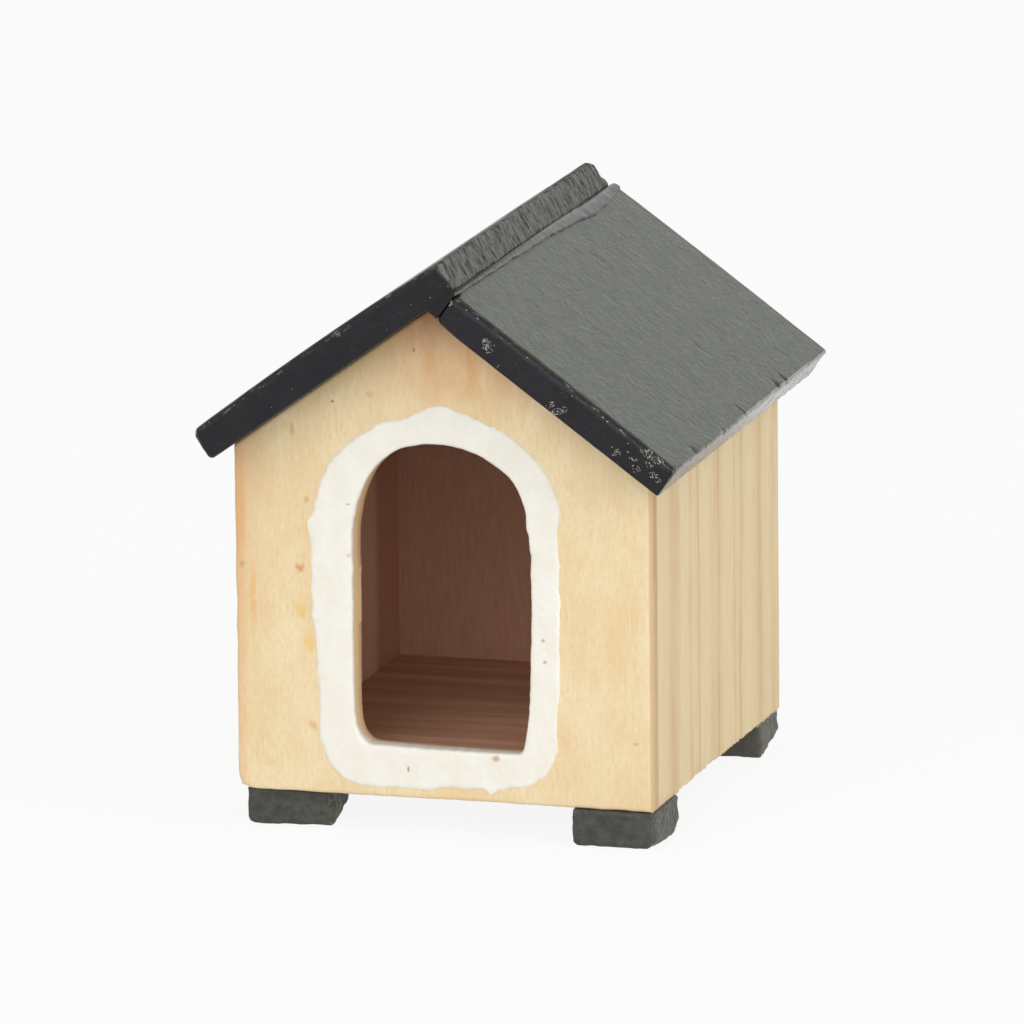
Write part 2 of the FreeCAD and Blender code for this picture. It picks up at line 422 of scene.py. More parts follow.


# %% [markdown]
# Age and hands have left marks on the front: the left side has weathered,
# and old glue has seeped from under the left roof board.  The gable is browner
# towards its peak, partly the wood's own tone and partly painted shade under the
# roof, and the peak is darkened with painted shade.  A little noise moves each
# place before it meets a stain, which makes the stain's edge ragged.

# %% Stains and painted shade on the panel
def panel_stains_and_shade(wires, base, place, blush):
    across, _, up = wires.split(place)
    weathered = wires.times(wires.between(across, -19.0, -25.5), wires.between(up, 16.0, 40.0))
    base = wires.tint(base, weathered, 0.75, PANEL_EDGE)
    # Browner towards the peak: partly the wood's own tone, partly painted shade under the roof.
    gable_tone_and_shade = spot(wires, place, (3.0, 0.0, 60.0), (17.0, 4.0, 11.0), 0.2)
    patchy = wires.linear(wires.between(blush, 0.35, 0.65), 0.5, 0.4)
    base = wires.tint(base, gable_tone_and_shade, patchy, colour(224, 170, 116))
    # Painted shade: the peak under the roof is darkened brown.
    apex_shade = spot(wires, place, (0.5, 0.0, 66.5), (10.5, 4.0, 10.5), 0.0)
    base = wires.mix(apex_shade, base, colour(158, 98, 60))
    ragged = wires.add("ShaderNodeTexNoise",
                       {"Vector": wires.vector("DIVIDE", place, (0.8, 0.8, 1.1)),
                                              "Detail": 3.0, "Scale": 1.0}).outputs["Color"]
    wobble = wires.vector("SUBTRACT", ragged, (0.5, 0.5, 0.5))
    moved = wires.vector("MULTIPLY_ADD", wobble, (1.1, 0.0, 1.6), place)
    for centre, radii, shade, strength in STAINS:
        base = wires.tint(base, spot(wires, moved, centre, radii, 0.25), strength, shade)
    moved_across, _, moved_up = wires.split(moved)
    warm = wires.flip(wires.between(below_left_roof(wires, moved_across, moved_up), 0.4, 3.0))
    lower = wires.between(across, -19.0, -14.0)
    upper = wires.flip(wires.between(across, -6.5, -3.0))
    return wires.tint(base, wires.times(lower, upper, warm), 0.40, GLUE_OLIVE)


# %% [markdown]
# The panel's edges have colours of their own: a warm rim on the left, the
# paler sawn edge and a brown seam of glue on the right, and a tan jamb.

# %% Edges of the panel
def panel_edges(wires, base, place, blush):
    across, back, up = wires.split(place)
    from_rim = wires.math("ABSOLUTE", wires.math("ADD", across, 25.0))
    base = wires.tint(base, wires.flip(wires.between(from_rim, 0.3, 1.1)), 0.30,
                      colour(228, 170, 114))
    sawn_edge = wires.between(across, WALL_HALF - 0.30, WALL_HALF - 0.05)
    base = wires.tint(base, sawn_edge, 0.90, colour(221, 190, 144))
    jamb = wires.times(wires.between(back, 0.30, 0.65),
                       wires.between(back, PANEL + 1.0, PANEL + 0.2))
    jamb = wires.times(jamb, wires.between(wires.math("ABSOLUTE", across), 12.0, 11.4))
    base = wires.tint(base, jamb, wires.between(up, 49.0, 47.8), JAMB_TAN)
    seam = wires.times(wires.between(across, WALL_HALF - 0.12, WALL_HALF - 0.02),
                       wires.between(back, 0.7, 2.0))
    seam = wires.times(seam, wires.linear(wires.between(up, 24.0, 34.0), 0.35, 0.50))
    return wires.tint(base, seam, wires.between(blush, 0.25, 0.50), colour(200, 156, 114))


def panel_wood(name, inside):
    """Pale board.  inside is the depth range over which the inside face's painted shade tint,
    browner and redder, begins.
    """
    material, wires = new_material(name)
    place = house_position(wires)
    base, blush, fibres, pores = panel_grain(wires, place)
    base = panel_stains_and_shade(wires, base, place, blush)
    base = panel_edges(wires, base, place, blush)
    # Painted shade tint: the inside face is browner and redder, as the dim room looks.
    brown = wires.mix(wires.between(fibres, 0.3, 0.7), INSIDE_SHADE_BROWN, INSIDE_SHADE_DARK)
    base = wires.tint(base, wires.between(wires.split(place)[1], *inside), 0.95, brown)
    height = wires.math("ADD", fibres, wires.times(pores, 0.6))
    finish_material(wires, base, wires.linear(fibres, 0.25, 0.45), height, 0.02)
    print(name, "has", len(material.node_tree.nodes), "nodes")
    return material


panel_wood_front = panel_wood("panel_wood_front", (PANEL - 0.35, PANEL - 0.05))
panel_wood_back = panel_wood("panel_wood_back", (DEPTH - PANEL + 0.35, DEPTH - PANEL + 0.05))

# %% [markdown]
# ## Ringed side wood
#
# The side walls are sawn from a softwood with straight, upright growth rings.
# A colour ramp along the depth of the house holds the rings: broad tan bands
# and thin darker lines.  A little noise bends them, and fine fibres run along
# them.  The left wall is another cut of the same wood, so its rings shift.
# Inside, the walls carry a redder painted shade tint, and they are darker still
# towards the rear corner, partly grain and partly painted shade.

# %% Side wood
SIDE_PALE = colour(236, 216, 173)
SIDE_TAN = colour(214, 181, 130)
RING_CONTRAST = 1.05
# place along the depth, and how dark the wood is there
RINGS = (
    (0.0, 0.1), (3.8, 0.1), (7.0, 0.2), (9.5, 0.75), (11.6, 0.6), (13.2, 0.05), (16.0, 0.1),
    (17.1, 0.75), (18.0, 0.25), (20.0, 0.3), (20.6, 0.8), (21.4, 0.15), (24.5, 0.05),
    (26.5, 0.45), (28.6, 0.5), (29.2, 0.95), (30.0, 0.45), (32.0, 0.1), (35.4, 0.15),
    (36.0, 0.7), (36.8, 0.2), (38.0, 0.4), (38.7, 0.9), (39.6, 0.25), (42.5, 0.05), (45.5, 0.4),
    (47.3, 0.85), (48.5, 0.3), (51.0, 0.1), (53.0, 0.6), (56.0, 0.1),
)


def shade_between(first, second, share):
    return tuple(a + (b - a) * share for a, b in zip(first, second))


def ringed_colour(wires, place, shift, seed):
    """The growth rings' colour, and the small noise that bends them."""
    back = wires.split(place)[1]
    drift = wires.noise(place, (9.0, 9.0, 38.0), 2.0, 0.5, 0.0, seed)
    tremble = wires.noise(place, (1.2, 1.2, 9.0), 2.0, 0.5, 0.0, seed + 2)
    ringed = wires.linear(drift, 3.0, wires.math("ADD", back, shift - 1.5))
    ringed = wires.linear(tremble, 0.9, wires.math("SUBTRACT", ringed, 0.45))
    width = RINGS[-1][0]
    stops = [(ring / width, shade_between(SIDE_PALE, SIDE_TAN, RING_CONTRAST * dark))
             for ring, dark in RINGS]
    rings = wires.ramp(wires.math("DIVIDE", ringed, width), stops)
    fade = wires.noise(place, (5.0, 5.0, 16.0), 2.0, 0.5, 0.0, seed + 4)
    base = wires.mix(wires.between(fade, 0.25, 0.60), wires.mix(0.55, rings, SIDE_PALE), rings)
    return base, tremble


def side_wood(name, shift, seed, inside):
    """Ringed board.  shift moves the rings; inside is where, in |x|, the inner face with its
    painted shade tint ends.
    """
    material, wires = new_material(name)
    place = house_position(wires)
    across, back, up = wires.split(place)
    base, tremble = ringed_colour(wires, place, shift, seed)
    fibres = wires.noise(place, (0.22, 0.22, 5.0), 4.0, 0.65, 0.0, seed + 1)
    base = wires.tint(base, wires.between(fibres, 0.48, 0.76), 0.42, colour(204, 170, 124))
    base = wires.tint(base, wires.between(fibres, 0.46, 0.28), 0.35, colour(246, 231, 196))
    pores = wires.noise(place, (0.13, 0.13, 1.6), 2.0, 0.5, 0.0, seed + 3)
    base = wires.tint(base, wires.between(pores, 0.64, 0.72), 0.35, colour(165, 125, 82))
    joint = wires.between(wires.linear(tremble, 1.2, back), PANEL + 1.5, PANEL + 0.4)
    base = wires.tint(base, joint, wires.linear(wires.between(up, 20.0, 34.0), 0.25, 0.25),
                      colour(205, 168, 126))
    # Painted shade tint: the inner face is redder, as the dim room looks.
    brown = wires.mix(wires.between(fibres, 0.3, 0.75), colour(255, 224, 194),
                      colour(250, 212, 180))
    # Darker towards the rear corner: partly grain, partly painted shade.
    rear_grain_and_shade = wires.between(wires.linear(tremble, 1.5, back), 43.0, 46.0)
    brown = wires.tint(brown, rear_grain_and_shade, 0.75, colour(204, 152, 132))
    within = wires.flip(wires.between(wires.math("ABSOLUTE", across), *inside))
    base = wires.tint(base, within, 0.95, brown)
    height = wires.math("ADD", fibres, wires.times(pores, 0.6))
    finish_material(wires, base, wires.linear(fibres, 0.25, 0.48), height, 0.025)
    print(name, "has", len(RINGS), "rings")
    return material


side_inside = (WALL_HALF - SIDE + 0.05, WALL_HALF - SIDE + 0.35)
side_wood_right = side_wood("side_wood_right", 0.0, 1.0, side_inside)
side_wood_left = side_wood("side_wood_left", -6.0, 11.0, side_inside)

# %% [markdown]
# The floor inside is browner and redder, the same painted shade tint as the
# inside faces.  Its grain runs from side to side, and its front has a thin smear
# of white paint.

# %% Floor wood
def floor_wood():
    """Inside board, brown with a painted shade tint, whose grain runs from side to side."""
    material, wires = new_material("floor_wood")
    place = house_position(wires)
    rings = wires.noise(place, (60.0, 2.6, 2.6), 3.0, 0.6, 0.3, 5.0)
    # Painted shade tint: the floor's red-brown is the tone of the dim room.
    base = wires.mix(wires.between(rings, 0.36, 0.62), colour(226, 178, 148), colour(204, 154, 124))
    lines = wires.noise(place, (30.0, 0.7, 0.7), 2.0, 0.5, 0.0, 9.0)
    base = wires.tint(base, wires.between(lines, 0.60, 0.70), 0.5, colour(172, 124, 98))
    fibres = wires.noise(place, (3.5, 0.2, 0.2), 3.0, 0.6)
    base = wires.tint(base, wires.between(fibres, 0.45, 0.75), 0.35, colour(178, 132, 104))
    smear = wires.between(wires.noise(place, (3.0, 1.6, 2.0), 3.0, 0.6, 0.0, 15.0), 0.50, 0.66)
    smear = wires.times(smear, wires.between(wires.split(place)[1], 7.0, 4.0))
    base = wires.tint(base, smear, 0.45, colour(176, 166, 150))
    finish_material(wires, base, wires.linear(fibres, 0.2, 0.5), fibres, 0.03)
    print("floor_wood has", len(material.node_tree.nodes), "nodes")
    return material


floor_board_wood = floor_wood()

# %% [markdown]
# ## Paint
#
# The black paint is half glossy.  Its roughness wanders, which breaks the
# reflections up.  Faces that look up hold a thin olive dust, and faces that
# look sideways are bluer and darker.  The feet carry the same paint rubbed
# dull and dusty, with painted sheen and painted light on some of their sides.
# Its relief is drawn in the roof board's own directions, so that it lies along
# the slope.

# %% Directions of a roof board
def slope_axes(wires, place, side):
    """A place in a roof board's directions, and how far off the slope.  A foot has side 0."""
    across, back, up = wires.split(place)
    along = wires.math("SUBTRACT", wires.times(up, math.sin(PITCH)),
                       wires.times(across, side * math.cos(PITCH)))
    off = wires.math("ADD", wires.times(up, math.cos(PITCH)),
                     wires.times(across, side * math.sin(PITCH)))
    return (wires.join(along, back, off) if side else place), off


# %% [markdown]
# Wear and painted light show in four places.  The sawn lower end of the right
# board is lighter, most towards the rear: a little worn paint, but mostly a
# painted reflection of the bright floor.  A fine broken painted highlight runs
# along the upper front edges, where the rounded edge catches the light.  The
# feet are lighter on their right-facing sides, a painted sheen with some dust,
# and the rear feet are lightened with painted light where the house shades
# them.  On the sawn strip at the ridge the torn fibres are drawn as slanting
# light and dark lines.

# %% Wear and painted light on the black paint
SAW_SLANT = -0.4            # how far the saw marks run back for each step down the sawn end


def eave_reflection_and_wear(wires, base, place, eave_end):
    grit = wires.noise(place, (0.55, 0.55, 0.45), 3.0, 0.70, 0.3, 31.0)
    # Painted reflection: the sawn end is lighter grey towards the rear, where it mirrors the bright
    # floor; the grit makes it patchy like worn paint.
    bare = wires.between(wires.split(place)[1], 10.0, 36.0)
    worn = wires.mix(bare, (0.19, 0.178, 0.148, 1), (0.30, 0.292, 0.265, 1))
    return wires.tint(base, eave_end, wires.between(wires.linear(bare, 0.12, grit), 0.36, 0.62),
                      worn)


def rim_highlight(wires, base, place, sloped, off):
    # Painted highlight: a fine broken light line along the upper front edge, where the rounded edge
    # catches the light.
    highlight_breaks = wires.noise(sloped, (2.0, 0.7, 0.35), 4.0, 0.7, 0.3, 41.0)
    rim = wires.times(wires.between(wires.split(place)[1], 0.9 - FRONT_OVER, 0.3 - FRONT_OVER),
                      wires.between(off, ROOF_TOP - 0.75, ROOF_TOP - 0.30))
    return wires.tint(base, rim, wires.between(highlight_breaks, 0.54, 0.66), (0.13, 0.13, 0.13, 1))


def foot_dust_and_painted_light(wires, base, place, aside, stipple):
    # Painted sheen with some dust: the feet's right-facing sides are lighter in patches.
    dusty_sheen = wires.times(wires.between(aside, 0.45, 0.85), wires.between(stipple, 0.40, 0.60))
    base = wires.mix(dusty_sheen, base, (0.15, 0.148, 0.128, 1))
    # Painted light: the rear feet, which stand in the house's shadow, are made lighter.
    return wires.tint(base, wires.between(wires.split(place)[1], 38.0, 44.0), 0.55,
                      (0.14, 0.137, 0.118, 1))


def torn_fibres(wires, base, place, off, torn):
    slanted = wires.linear(off, SAW_SLANT, wires.split(place)[1])
    fibre = wires.noise(wires.join(0.0, slanted, wires.times(off, 0.20)), (1.0, 0.42, 0.42), 4.0,
                        0.70, 0.5, 51.0)
    lines = wires.mix(wires.between(fibre, 0.36, 0.62), (0.018, 0.020, 0.015, 1),
                      (0.165, 0.174, 0.148, 1))
    return wires.mix(torn, base, lines)


# %% [markdown]
# The paint itself has one tone for faces that look up and another for the
# rest, both mottled.  The dust, the wear and the painted light lie over them,
# and the roughness and the height follow from the same noises.

# %% Black paint
OLIVE_DUST = (0.039, 0.050, 0.027, 1)
PAINT_GLOSS = {"Specular IOR Level": 0.285}


def paint_relief(wires, place, sloped, torn, eave_end, gloss):
    """The paint's roughness and its height: rougher where torn, smooth on the eave's end."""
    grain = wires.noise(sloped, (0.72, 0.90, 0.55), 4.0, 0.62)
    fine = wires.noise(sloped, (0.24, 0.30, 0.18), 2.0, 0.5, 0.0, 6.0)
    blotch = wires.noise(place, (2.4, 2.4, 2.4), 3.0, 0.5, 0.0, 8.0)
    roughness = wires.linear(torn, 0.26, wires.linear(blotch, 0.16, gloss - 0.08))
    roughness = wires.times(roughness, wires.linear(eave_end, -0.55, 1.0))
    return roughness, wires.times(wires.linear(fine, 0.30, grain),
                                  wires.linear(eave_end, -0.92, 1.0))


def black_paint(name, shades, gloss, relief, side, mottle=4.0):
    """shades are for upward faces and for the others; side is -1 or 1 on a roof, 0 on a foot."""
    material, wires = new_material(name)
    place = house_position(wires)
    sloped, off = slope_axes(wires, place, side)
    aside, _, facing = wires.split(wires.add("ShaderNodeTexCoord").outputs["Normal"])
    eave_end = wires.times(wires.between(wires.times(aside, side), 0.66, 0.78),
                           wires.between(wires.split(place)[2], 55.0, 50.0))
    tone = wires.between(wires.noise(place, (mottle, mottle, mottle), 4.0, 0.65), 0.34, 0.66)
    upward = wires.between(facing, 0.60, 0.78)
    (top_dark, top_light), (side_dark, side_light) = shades
    base = wires.mix(upward, wires.mix(tone, side_dark, side_light),
                     wires.mix(tone, top_dark, top_light))
    stipple = wires.noise(sloped, (0.80, 0.85, 0.50), 4.0, 0.75, 0.2, 14.0)
    base = wires.mix(wires.between(stipple, 0.42, 0.62), base, wires.mix(upward, base, OLIVE_DUST))
    base = eave_reflection_and_wear(wires, base, place, eave_end)
    if side:
        base = rim_highlight(wires, base, place, sloped, off)
    else:
        base = foot_dust_and_painted_light(wires, base, place, aside, stipple)
    torn = wires.add("ShaderNodeAttribute", attribute_name="sawn").outputs["Fac"]
    base = torn_fibres(wires, base, place, off, torn)
    specks = wires.noise(place, (0.26, 0.26, 0.26), 1.0, 0.5, 0.0, 4.0)
    base = wires.tint(base, wires.between(specks, 0.75, 0.80), 0.30, colour(150, 148, 140))
    roughness, height = paint_relief(wires, place, sloped, torn, eave_end, gloss)
    finish_material(wires, base, roughness, height, relief, **PAINT_GLOSS)
    print(name, "has", len(material.node_tree.nodes), "nodes")
    return material


# %% [markdown]
# The white paint is thick and matt.  Where it is thin the wood shows through a
# little, and a few knocks and specks have places of their own.

# %% White paint
BORDER_SPOTS = (
    # place on the front face, half sizes, colour
    ((-4.3, 8.0), (0.22, 0.5), colour(150, 118, 84)),
    ((-11.4, 39.6), (0.4, 0.16), colour(200, 176, 146)),
    ((-11.4, 33.4), (0.35, 0.4), colour(228, 200, 180)),
    ((12.4, 24.5), (0.35, 0.3), colour(196, 160, 120)),
    ((12.6, 21.9), (0.35, 0.3), colour(196, 150, 110)),
    ((6.5, 9.9), (0.7, 0.5), colour(200, 160, 112)),
)


def white_paint():
    material, wires = new_material("white_paint")
    place = house_position(wires)
    clouds = wires.noise(place, (3.0, 3.0, 4.0), 4.0, 0.6)
    base = wires.mix(wires.between(clouds, 0.35, 0.68), colour(249, 246, 236),
                     colour(245, 240, 227))
    thin = wires.noise(place, (0.5, 0.5, 1.6), 3.0, 0.6, 0.0, 3.0)
    base = wires.tint(base, wires.between(thin, 0.58, 0.76), 0.20, colour(234, 218, 194))
    specks = wires.noise(place, (0.22, 0.22, 0.22), 1.0, 0.5, 0.0, 12.0)
    base = wires.tint(base, wires.between(specks, 0.76, 0.82), 0.35, colour(200, 164, 126))
    for centre, radii, shade in BORDER_SPOTS:
        mask = spot(wires, place, (centre[0], 0, centre[1]), (radii[0], 3, radii[1]), 0.3)
        base = wires.tint(base, mask, 0.75, shade)
    brush = wires.noise(place, (0.9, 0.9, 0.9), 4.0, 0.6, 0.5, 2.0)
    finish_material(wires, base, wires.linear(brush, 0.2, 0.45), brush, 0.05)
    print("white_paint has", len(material.node_tree.nodes), "nodes")
    return material


# %% [markdown]
# The roof, the ridge joint and the feet have shades of their own.  Chips,
# splinters, glue and scratches are too small for more than two plain tones.

# %% The painted and the small materials
# For each: upward faces, dark and light, and then the other faces
ROOF_SHADES = (((0.013, 0.021, 0.006, 1), (0.021, 0.031, 0.011, 1)),
               ((0.005, 0.0045, 0.007, 1), (0.009, 0.008, 0.011, 1)))
RIDGE_SHADES = (((0.016, 0.018, 0.017, 1), (0.026, 0.029, 0.028, 1)),
                ((0.006, 0.006, 0.007, 1), (0.010, 0.010, 0.011, 1)))
FOOT_SHADES = (((0.044, 0.044, 0.039, 1), (0.084, 0.082, 0.072, 1)),
               ((0.044, 0.045, 0.039, 1), (0.084, 0.083, 0.072, 1)))
roof_paint = {side: black_paint("roof_paint_" + word, ROOF_SHADES, 0.29, 0.120, side)
              for side, word in ((-1, "left"), (1, "right"))}
ridge_paint = black_paint("ridge_paint", RIDGE_SHADES, 0.22, 0.020, 1)
foot_paint = black_paint("foot_paint", FOOT_SHADES, 0.48, 0.06, 0, 1.7)
band_paint = white_paint()


def plain_material(name, light, dark, size, roughness, relief):
    """Small things: two tones of one colour in lumps of a size."""
    material, wires = new_material(name)
    lumps = wires.noise(house_position(wires), (size, size, size), 3.0, 0.6)
    base = wires.mix(wires.between(lumps, 0.35, 0.65), light, dark)
    finish_material(wires, base, roughness, lumps, relief)
    return material


chip_wood = plain_material("chip_bare_wood", colour(206, 204, 194), colour(146, 138, 120),
                           0.4, 0.7, 0.02)
splinter_wood = plain_material("splinter_wood", colour(244, 228, 192), colour(228, 203, 158),
                               0.5, 0.7, 0.01)
old_glue = plain_material("old_glue", colour(88, 58, 44), colour(52, 36, 30), 0.6, 0.35, 0.02)
# Grey for worn paint in scratches and chips; along the left board's upper front edge it is also a
# painted highlight.
worn_paint_and_highlight = plain_material("worn_paint_and_highlight", colour(166, 167, 158), colour(104, 105, 99),
                            0.3, 0.45, 0.02)

# %% [markdown]
# ## Helpers for shapes
#
# A board or a block starts as the skin of a box with its points close
# together at the edges.  Moving those points onto rounded edges gives each
# point an outward direction as well, and that is the way hand-made unevenness
# is pushed in or out.

# %% Skins, rounding and noise
def hashed(cell, seed):
    """A fixed random number from -1 to 1 for each whole-numbered cell."""
    mixed = ((cell[..., 0] * 73856093) ^ (cell[..., 1] * 19349663) ^ (cell[..., 2] * 83492791)
             ^ (seed * 2654435))
    mixed = (mixed ^ (mixed >> 13)) * 1274126177 & 0xFFFFFFFF
    mixed = (mixed ^ (mixed >> 16)) * 668265263 & 0xFFFFFFFF
    return (mixed & 0xFFFF) / 32767.5 - 1.0


def rough(points, size, seed=0, octaves=2):
    """Smooth random numbers, about -1 to 1, in lumps of a size in millimetres."""
    total, weight = np.zeros(len(points)), 1.0
    where = np.asarray(points, float) / np.asarray(size, float)
    for octave in range(octaves):
        place = where * 2 ** octave + 31.7 * (octave + 1)
        cell = np.floor(place).astype(np.int64)
        part = place - cell
        part = part * part * part * (part * (part * 6 - 15) + 10)
        for corner in np.ndindex(2, 2, 2):
            share = np.prod(np.where(np.array(corner) == 1, part, 1 - part), axis=1)
            total += weight * share * hashed(cell + corner, seed + octave)
        weight /= 2
    return total


def smooth_step(value, low, high):
    share = np.clip((np.asarray(value, float) - low) / (high - low), 0, 1)
    return share * share * (3 - 2 * share)


def stations(length, step, edge):
    """Places along one side of a box skin: close at the rounded ends, a step apart between."""
    end = edge * (1 - np.tan(np.radians([45, 41, 36, 29, 20, 10, 0])))
    count = max(2, int(round((length - 2 * edge) / step)) + 1)
    return np.concatenate([end[:-1], np.linspace(edge, length - edge, count), length - end[-2::-1]])


def box_skin(u, v, w):
    """Points and quads of the skin of a box, from the places along its three sides."""
    shape = (len(u), len(v), len(w))
    on_skin = np.zeros(shape, bool)
    for axis in range(3):
        edge = [slice(None)] * 3
        for end in (0, -1):
            edge[axis] = end
            on_skin[tuple(edge)] = True
    number = np.full(shape, -1)
    number[on_skin] = np.arange(on_skin.sum())
    i, j, k = np.nonzero(on_skin)
    points = np.stack([u[i], v[j], w[k]], axis=1)

    def sheet(grid, turned):
        quads = np.stack([grid[:-1, :-1], grid[1:, :-1], grid[1:, 1:], grid[:-1, 1:]],
                         -1).reshape(-1, 4)
        return quads[:, ::-1] if turned else quads

    faces = [sheet(number[:, :, -1], False), sheet(number[:, :, 0], True),
             sheet(number[-1], False), sheet(number[0], True),
             sheet(number[:, -1], True), sheet(number[:, 0], False)]
    return points, np.concatenate(faces)


def rounded(points, size, radius):
    """Box-skin points moved onto rounded edges, and their outward directions."""
    size = np.asarray(size, float)
    radius = np.broadcast_to(np.reshape(radius, (-1, 1)), (len(points), 1))
    inner = np.clip(points, radius, size - radius)
    away = points - inner
    away = away / np.linalg.norm(away, axis=1, keepdims=True)
    return inner + away * radius, away


def add_piece(name, points, faces, materials, sharp=50):
    """A mesh object from house millimetres.  sharp is the least angle of a crisp edge."""
    points = np.asarray(points, float)
    mesh = bpy.data.meshes.new(name)
    mesh.from_pydata(((points + HOUSE_ORIGIN) * MM).tolist(), [],
                     [list(map(int, face)) for face in faces])
    mesh.polygons.foreach_set("use_smooth", np.full(len(mesh.polygons), True))
    mesh.calc_loop_triangles()
    corners = np.zeros(len(mesh.loop_triangles) * 3, np.int64)
    mesh.loop_triangles.foreach_get("vertices", corners)
    a, b, c = (points[corners.reshape(-1, 3)[:, n]] for n in range(3))
    if np.einsum("ij,ij->", a - points[0], np.cross(b - points[0], c - points[0])) < 0:
        mesh.flip_normals()
    mesh.set_sharp_from_angle(angle=math.radians(sharp))
    for material in materials:
        mesh.materials.append(material)
    piece = bpy.data.objects.new(name, mesh)
    bpy.context.scene.collection.objects.link(piece)
    return piece


def places_of(piece):
    """A piece's points, in metres."""
    places = np.zeros(len(piece.data.vertices) * 3, np.float32)
    piece.data.vertices.foreach_get("co", places)
    return places.reshape(-1, 3)


def settle(piece, node):
    """Keeps a piece in the CAD box, gives it its body, and hides the CAD node it stands for."""
    places = np.clip(places_of(piece), np.array(cad_low, np.float32),
                     np.array(cad_high, np.float32))
    piece.data.vertices.foreach_set("co", places.ravel())
    piece.data.update()
    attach(piece, "root")
    if node:
        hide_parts(node)
    low, high = places.min(0) / MM, places.max(0) / MM
    print(piece.name, len(piece.data.polygons), "faces", low.round(2), high.round(2))
    return piece


# %% [markdown]
# ## The end panels
#
# Both end panels are one board with a peaked top.  The front one has the
# doorway.  Seen from a point inside the doorway, every direction meets the
# doorway's edge once and the panel's edge once, so the panel can be made as
# rings of points between those two edges, like the ripples round a stone.
# The section at each direction is the same closed loop, with eased corners.

# %% Outlines seen from the doorway's middle
HUB = np.array([0.0, 28.0])
RAYS = 900
DOOR_EDGE = (
    (-8.3, 10.6), (-9.4, 10.85), (-10.2, 11.6), (-10.65, 12.6), (-10.85, 13.6), (-11.0, 15.7),
    (-11.05, 18.1), (-11.08, 20.5), (-11.08, 25.0), (-11.08, 28.0), (-11.08, 30.5),
    (-10.99, 31.7), (-11.08, 33.3), (-11.03, 35.5), (-10.9, 37.2), (-10.6, 38.6), (-10.3, 39.96),
    (-9.55, 41.85), (-8.51, 43.7), (-7.06, 45.23), (-5.35, 46.48), (-3.38, 47.07),
    (-1.37, 47.34), (0.64, 47.37), (2.57, 46.98), (4.41, 46.43), (6.08, 45.56), (7.6, 44.55),
    (8.86, 43.28), (9.74, 41.65), (10.31, 39.94), (10.45, 38.0), (10.75, 36.9), (10.86, 35.2),
    (11.0, 34.0), (10.93, 32.67), (11.0, 30.4), (10.98, 28.25), (11.0, 27.1), (10.95, 25.0),
    (10.88, 23.4), (10.8, 20.5), (10.72, 18.0), (10.56, 15.4), (10.3, 13.5), (10.1, 12.2),
    (9.95, 11.3), (9.6, 10.75), (8.9, 10.5), (6.4, 10.42), (0.0, 10.45), (-5.6, 10.55),
)


def ray_angles():
    """Directions from the hub, with more of them at the panel's corners."""
    even = np.linspace(-math.pi, math.pi, RAYS, endpoint=False)
    peak = EAVE_HEIGHT + WALL_HALF * math.tan(PITCH)
    corners = [(-WALL_HALF, GROUND_GAP), (WALL_HALF, GROUND_GAP), (WALL_HALF, EAVE_HEIGHT),
               (0, peak), (-WALL_HALF, EAVE_HEIGHT)]
    near = [math.atan2(z - HUB[1], x - HUB[0]) + step for x, z in corners
            for step in (-0.012, -0.006, -0.003, -0.0015, 0, 0.0015, 0.003, 0.006, 0.012)]
    angles = np.sort(np.concatenate([even, near]))
    return angles[np.append(True, np.diff(angles) > 4e-4)]


ANGLES = ray_angles()
OUTWARD = np.stack([np.cos(ANGLES), np.sin(ANGLES)], axis=1)


def closed_curve(points, samples=40):
    """Smooth closed curve through points (Catmull-Rom), as many small steps."""
    points = np.asarray(points, float)
    before, after, beyond = np.roll(points, 1, 0), np.roll(points, -1, 0), np.roll(points, -2, 0)
    steps = []
    for t in np.linspace(0, 1, samples, endpoint=False):
        steps.append(0.5 * (2 * points + (after - before) * t
                            + (2 * before - 5 * points + 4 * after - beyond) * t ** 2
                            + (3 * points - before - 3 * after + beyond) * t ** 3))
    return np.stack(steps, axis=1).reshape(-1, 2)


def reach_of(outline):
    """Distance from the hub to a closed outline in each of the directions."""
    offset = outline - HUB
    turn, length = np.arctan2(offset[:, 1], offset[:, 0]), np.linalg.norm(offset, axis=1)
    order = np.argsort(turn)
    return np.interp(ANGLES, turn[order], length[order], period=2 * math.pi)


def gable_reach():
    """Distance from the hub to the panel's edge, its corners barely rounded."""
    walls = [((1, 0), WALL_HALF), ((-1, 0), WALL_HALF), ((0, -1), -GROUND_GAP)]
    ridge = EAVE_HEIGHT * math.cos(PITCH) + WALL_HALF * math.sin(PITCH)
    walls += [((side * math.sin(PITCH), math.cos(PITCH)), ridge) for side in (-1, 1)]
    near = np.stack([np.maximum(OUTWARD @ np.array(normal), 0) / (distance - HUB @ np.array(normal))
                     for normal, distance in walls])
    most = near.max(axis=0)
    return 1 / (most * ((near / most) ** 400).sum(axis=0) ** (1 / 400))


def ring_points(reach, depth):
    flat = HUB + OUTWARD * np.reshape(reach, (-1, 1))
    return np.stack([flat[:, 0], np.broadcast_to(depth, len(flat)), flat[:, 1]], axis=1)


DOOR_REACH = reach_of(closed_curve(DOOR_EDGE))
print("directions", len(ANGLES), "doorway from", DOOR_REACH.min().round(2), "to",
      DOOR_REACH.max().round(2))


# %% [markdown]
# A panel's skin is a stack of rings with one point in each direction.  The
# front panel's rings go all the way round, from the jamb over the front to
# the outer edge and back to the jamb, and the back panel's end in its middle.

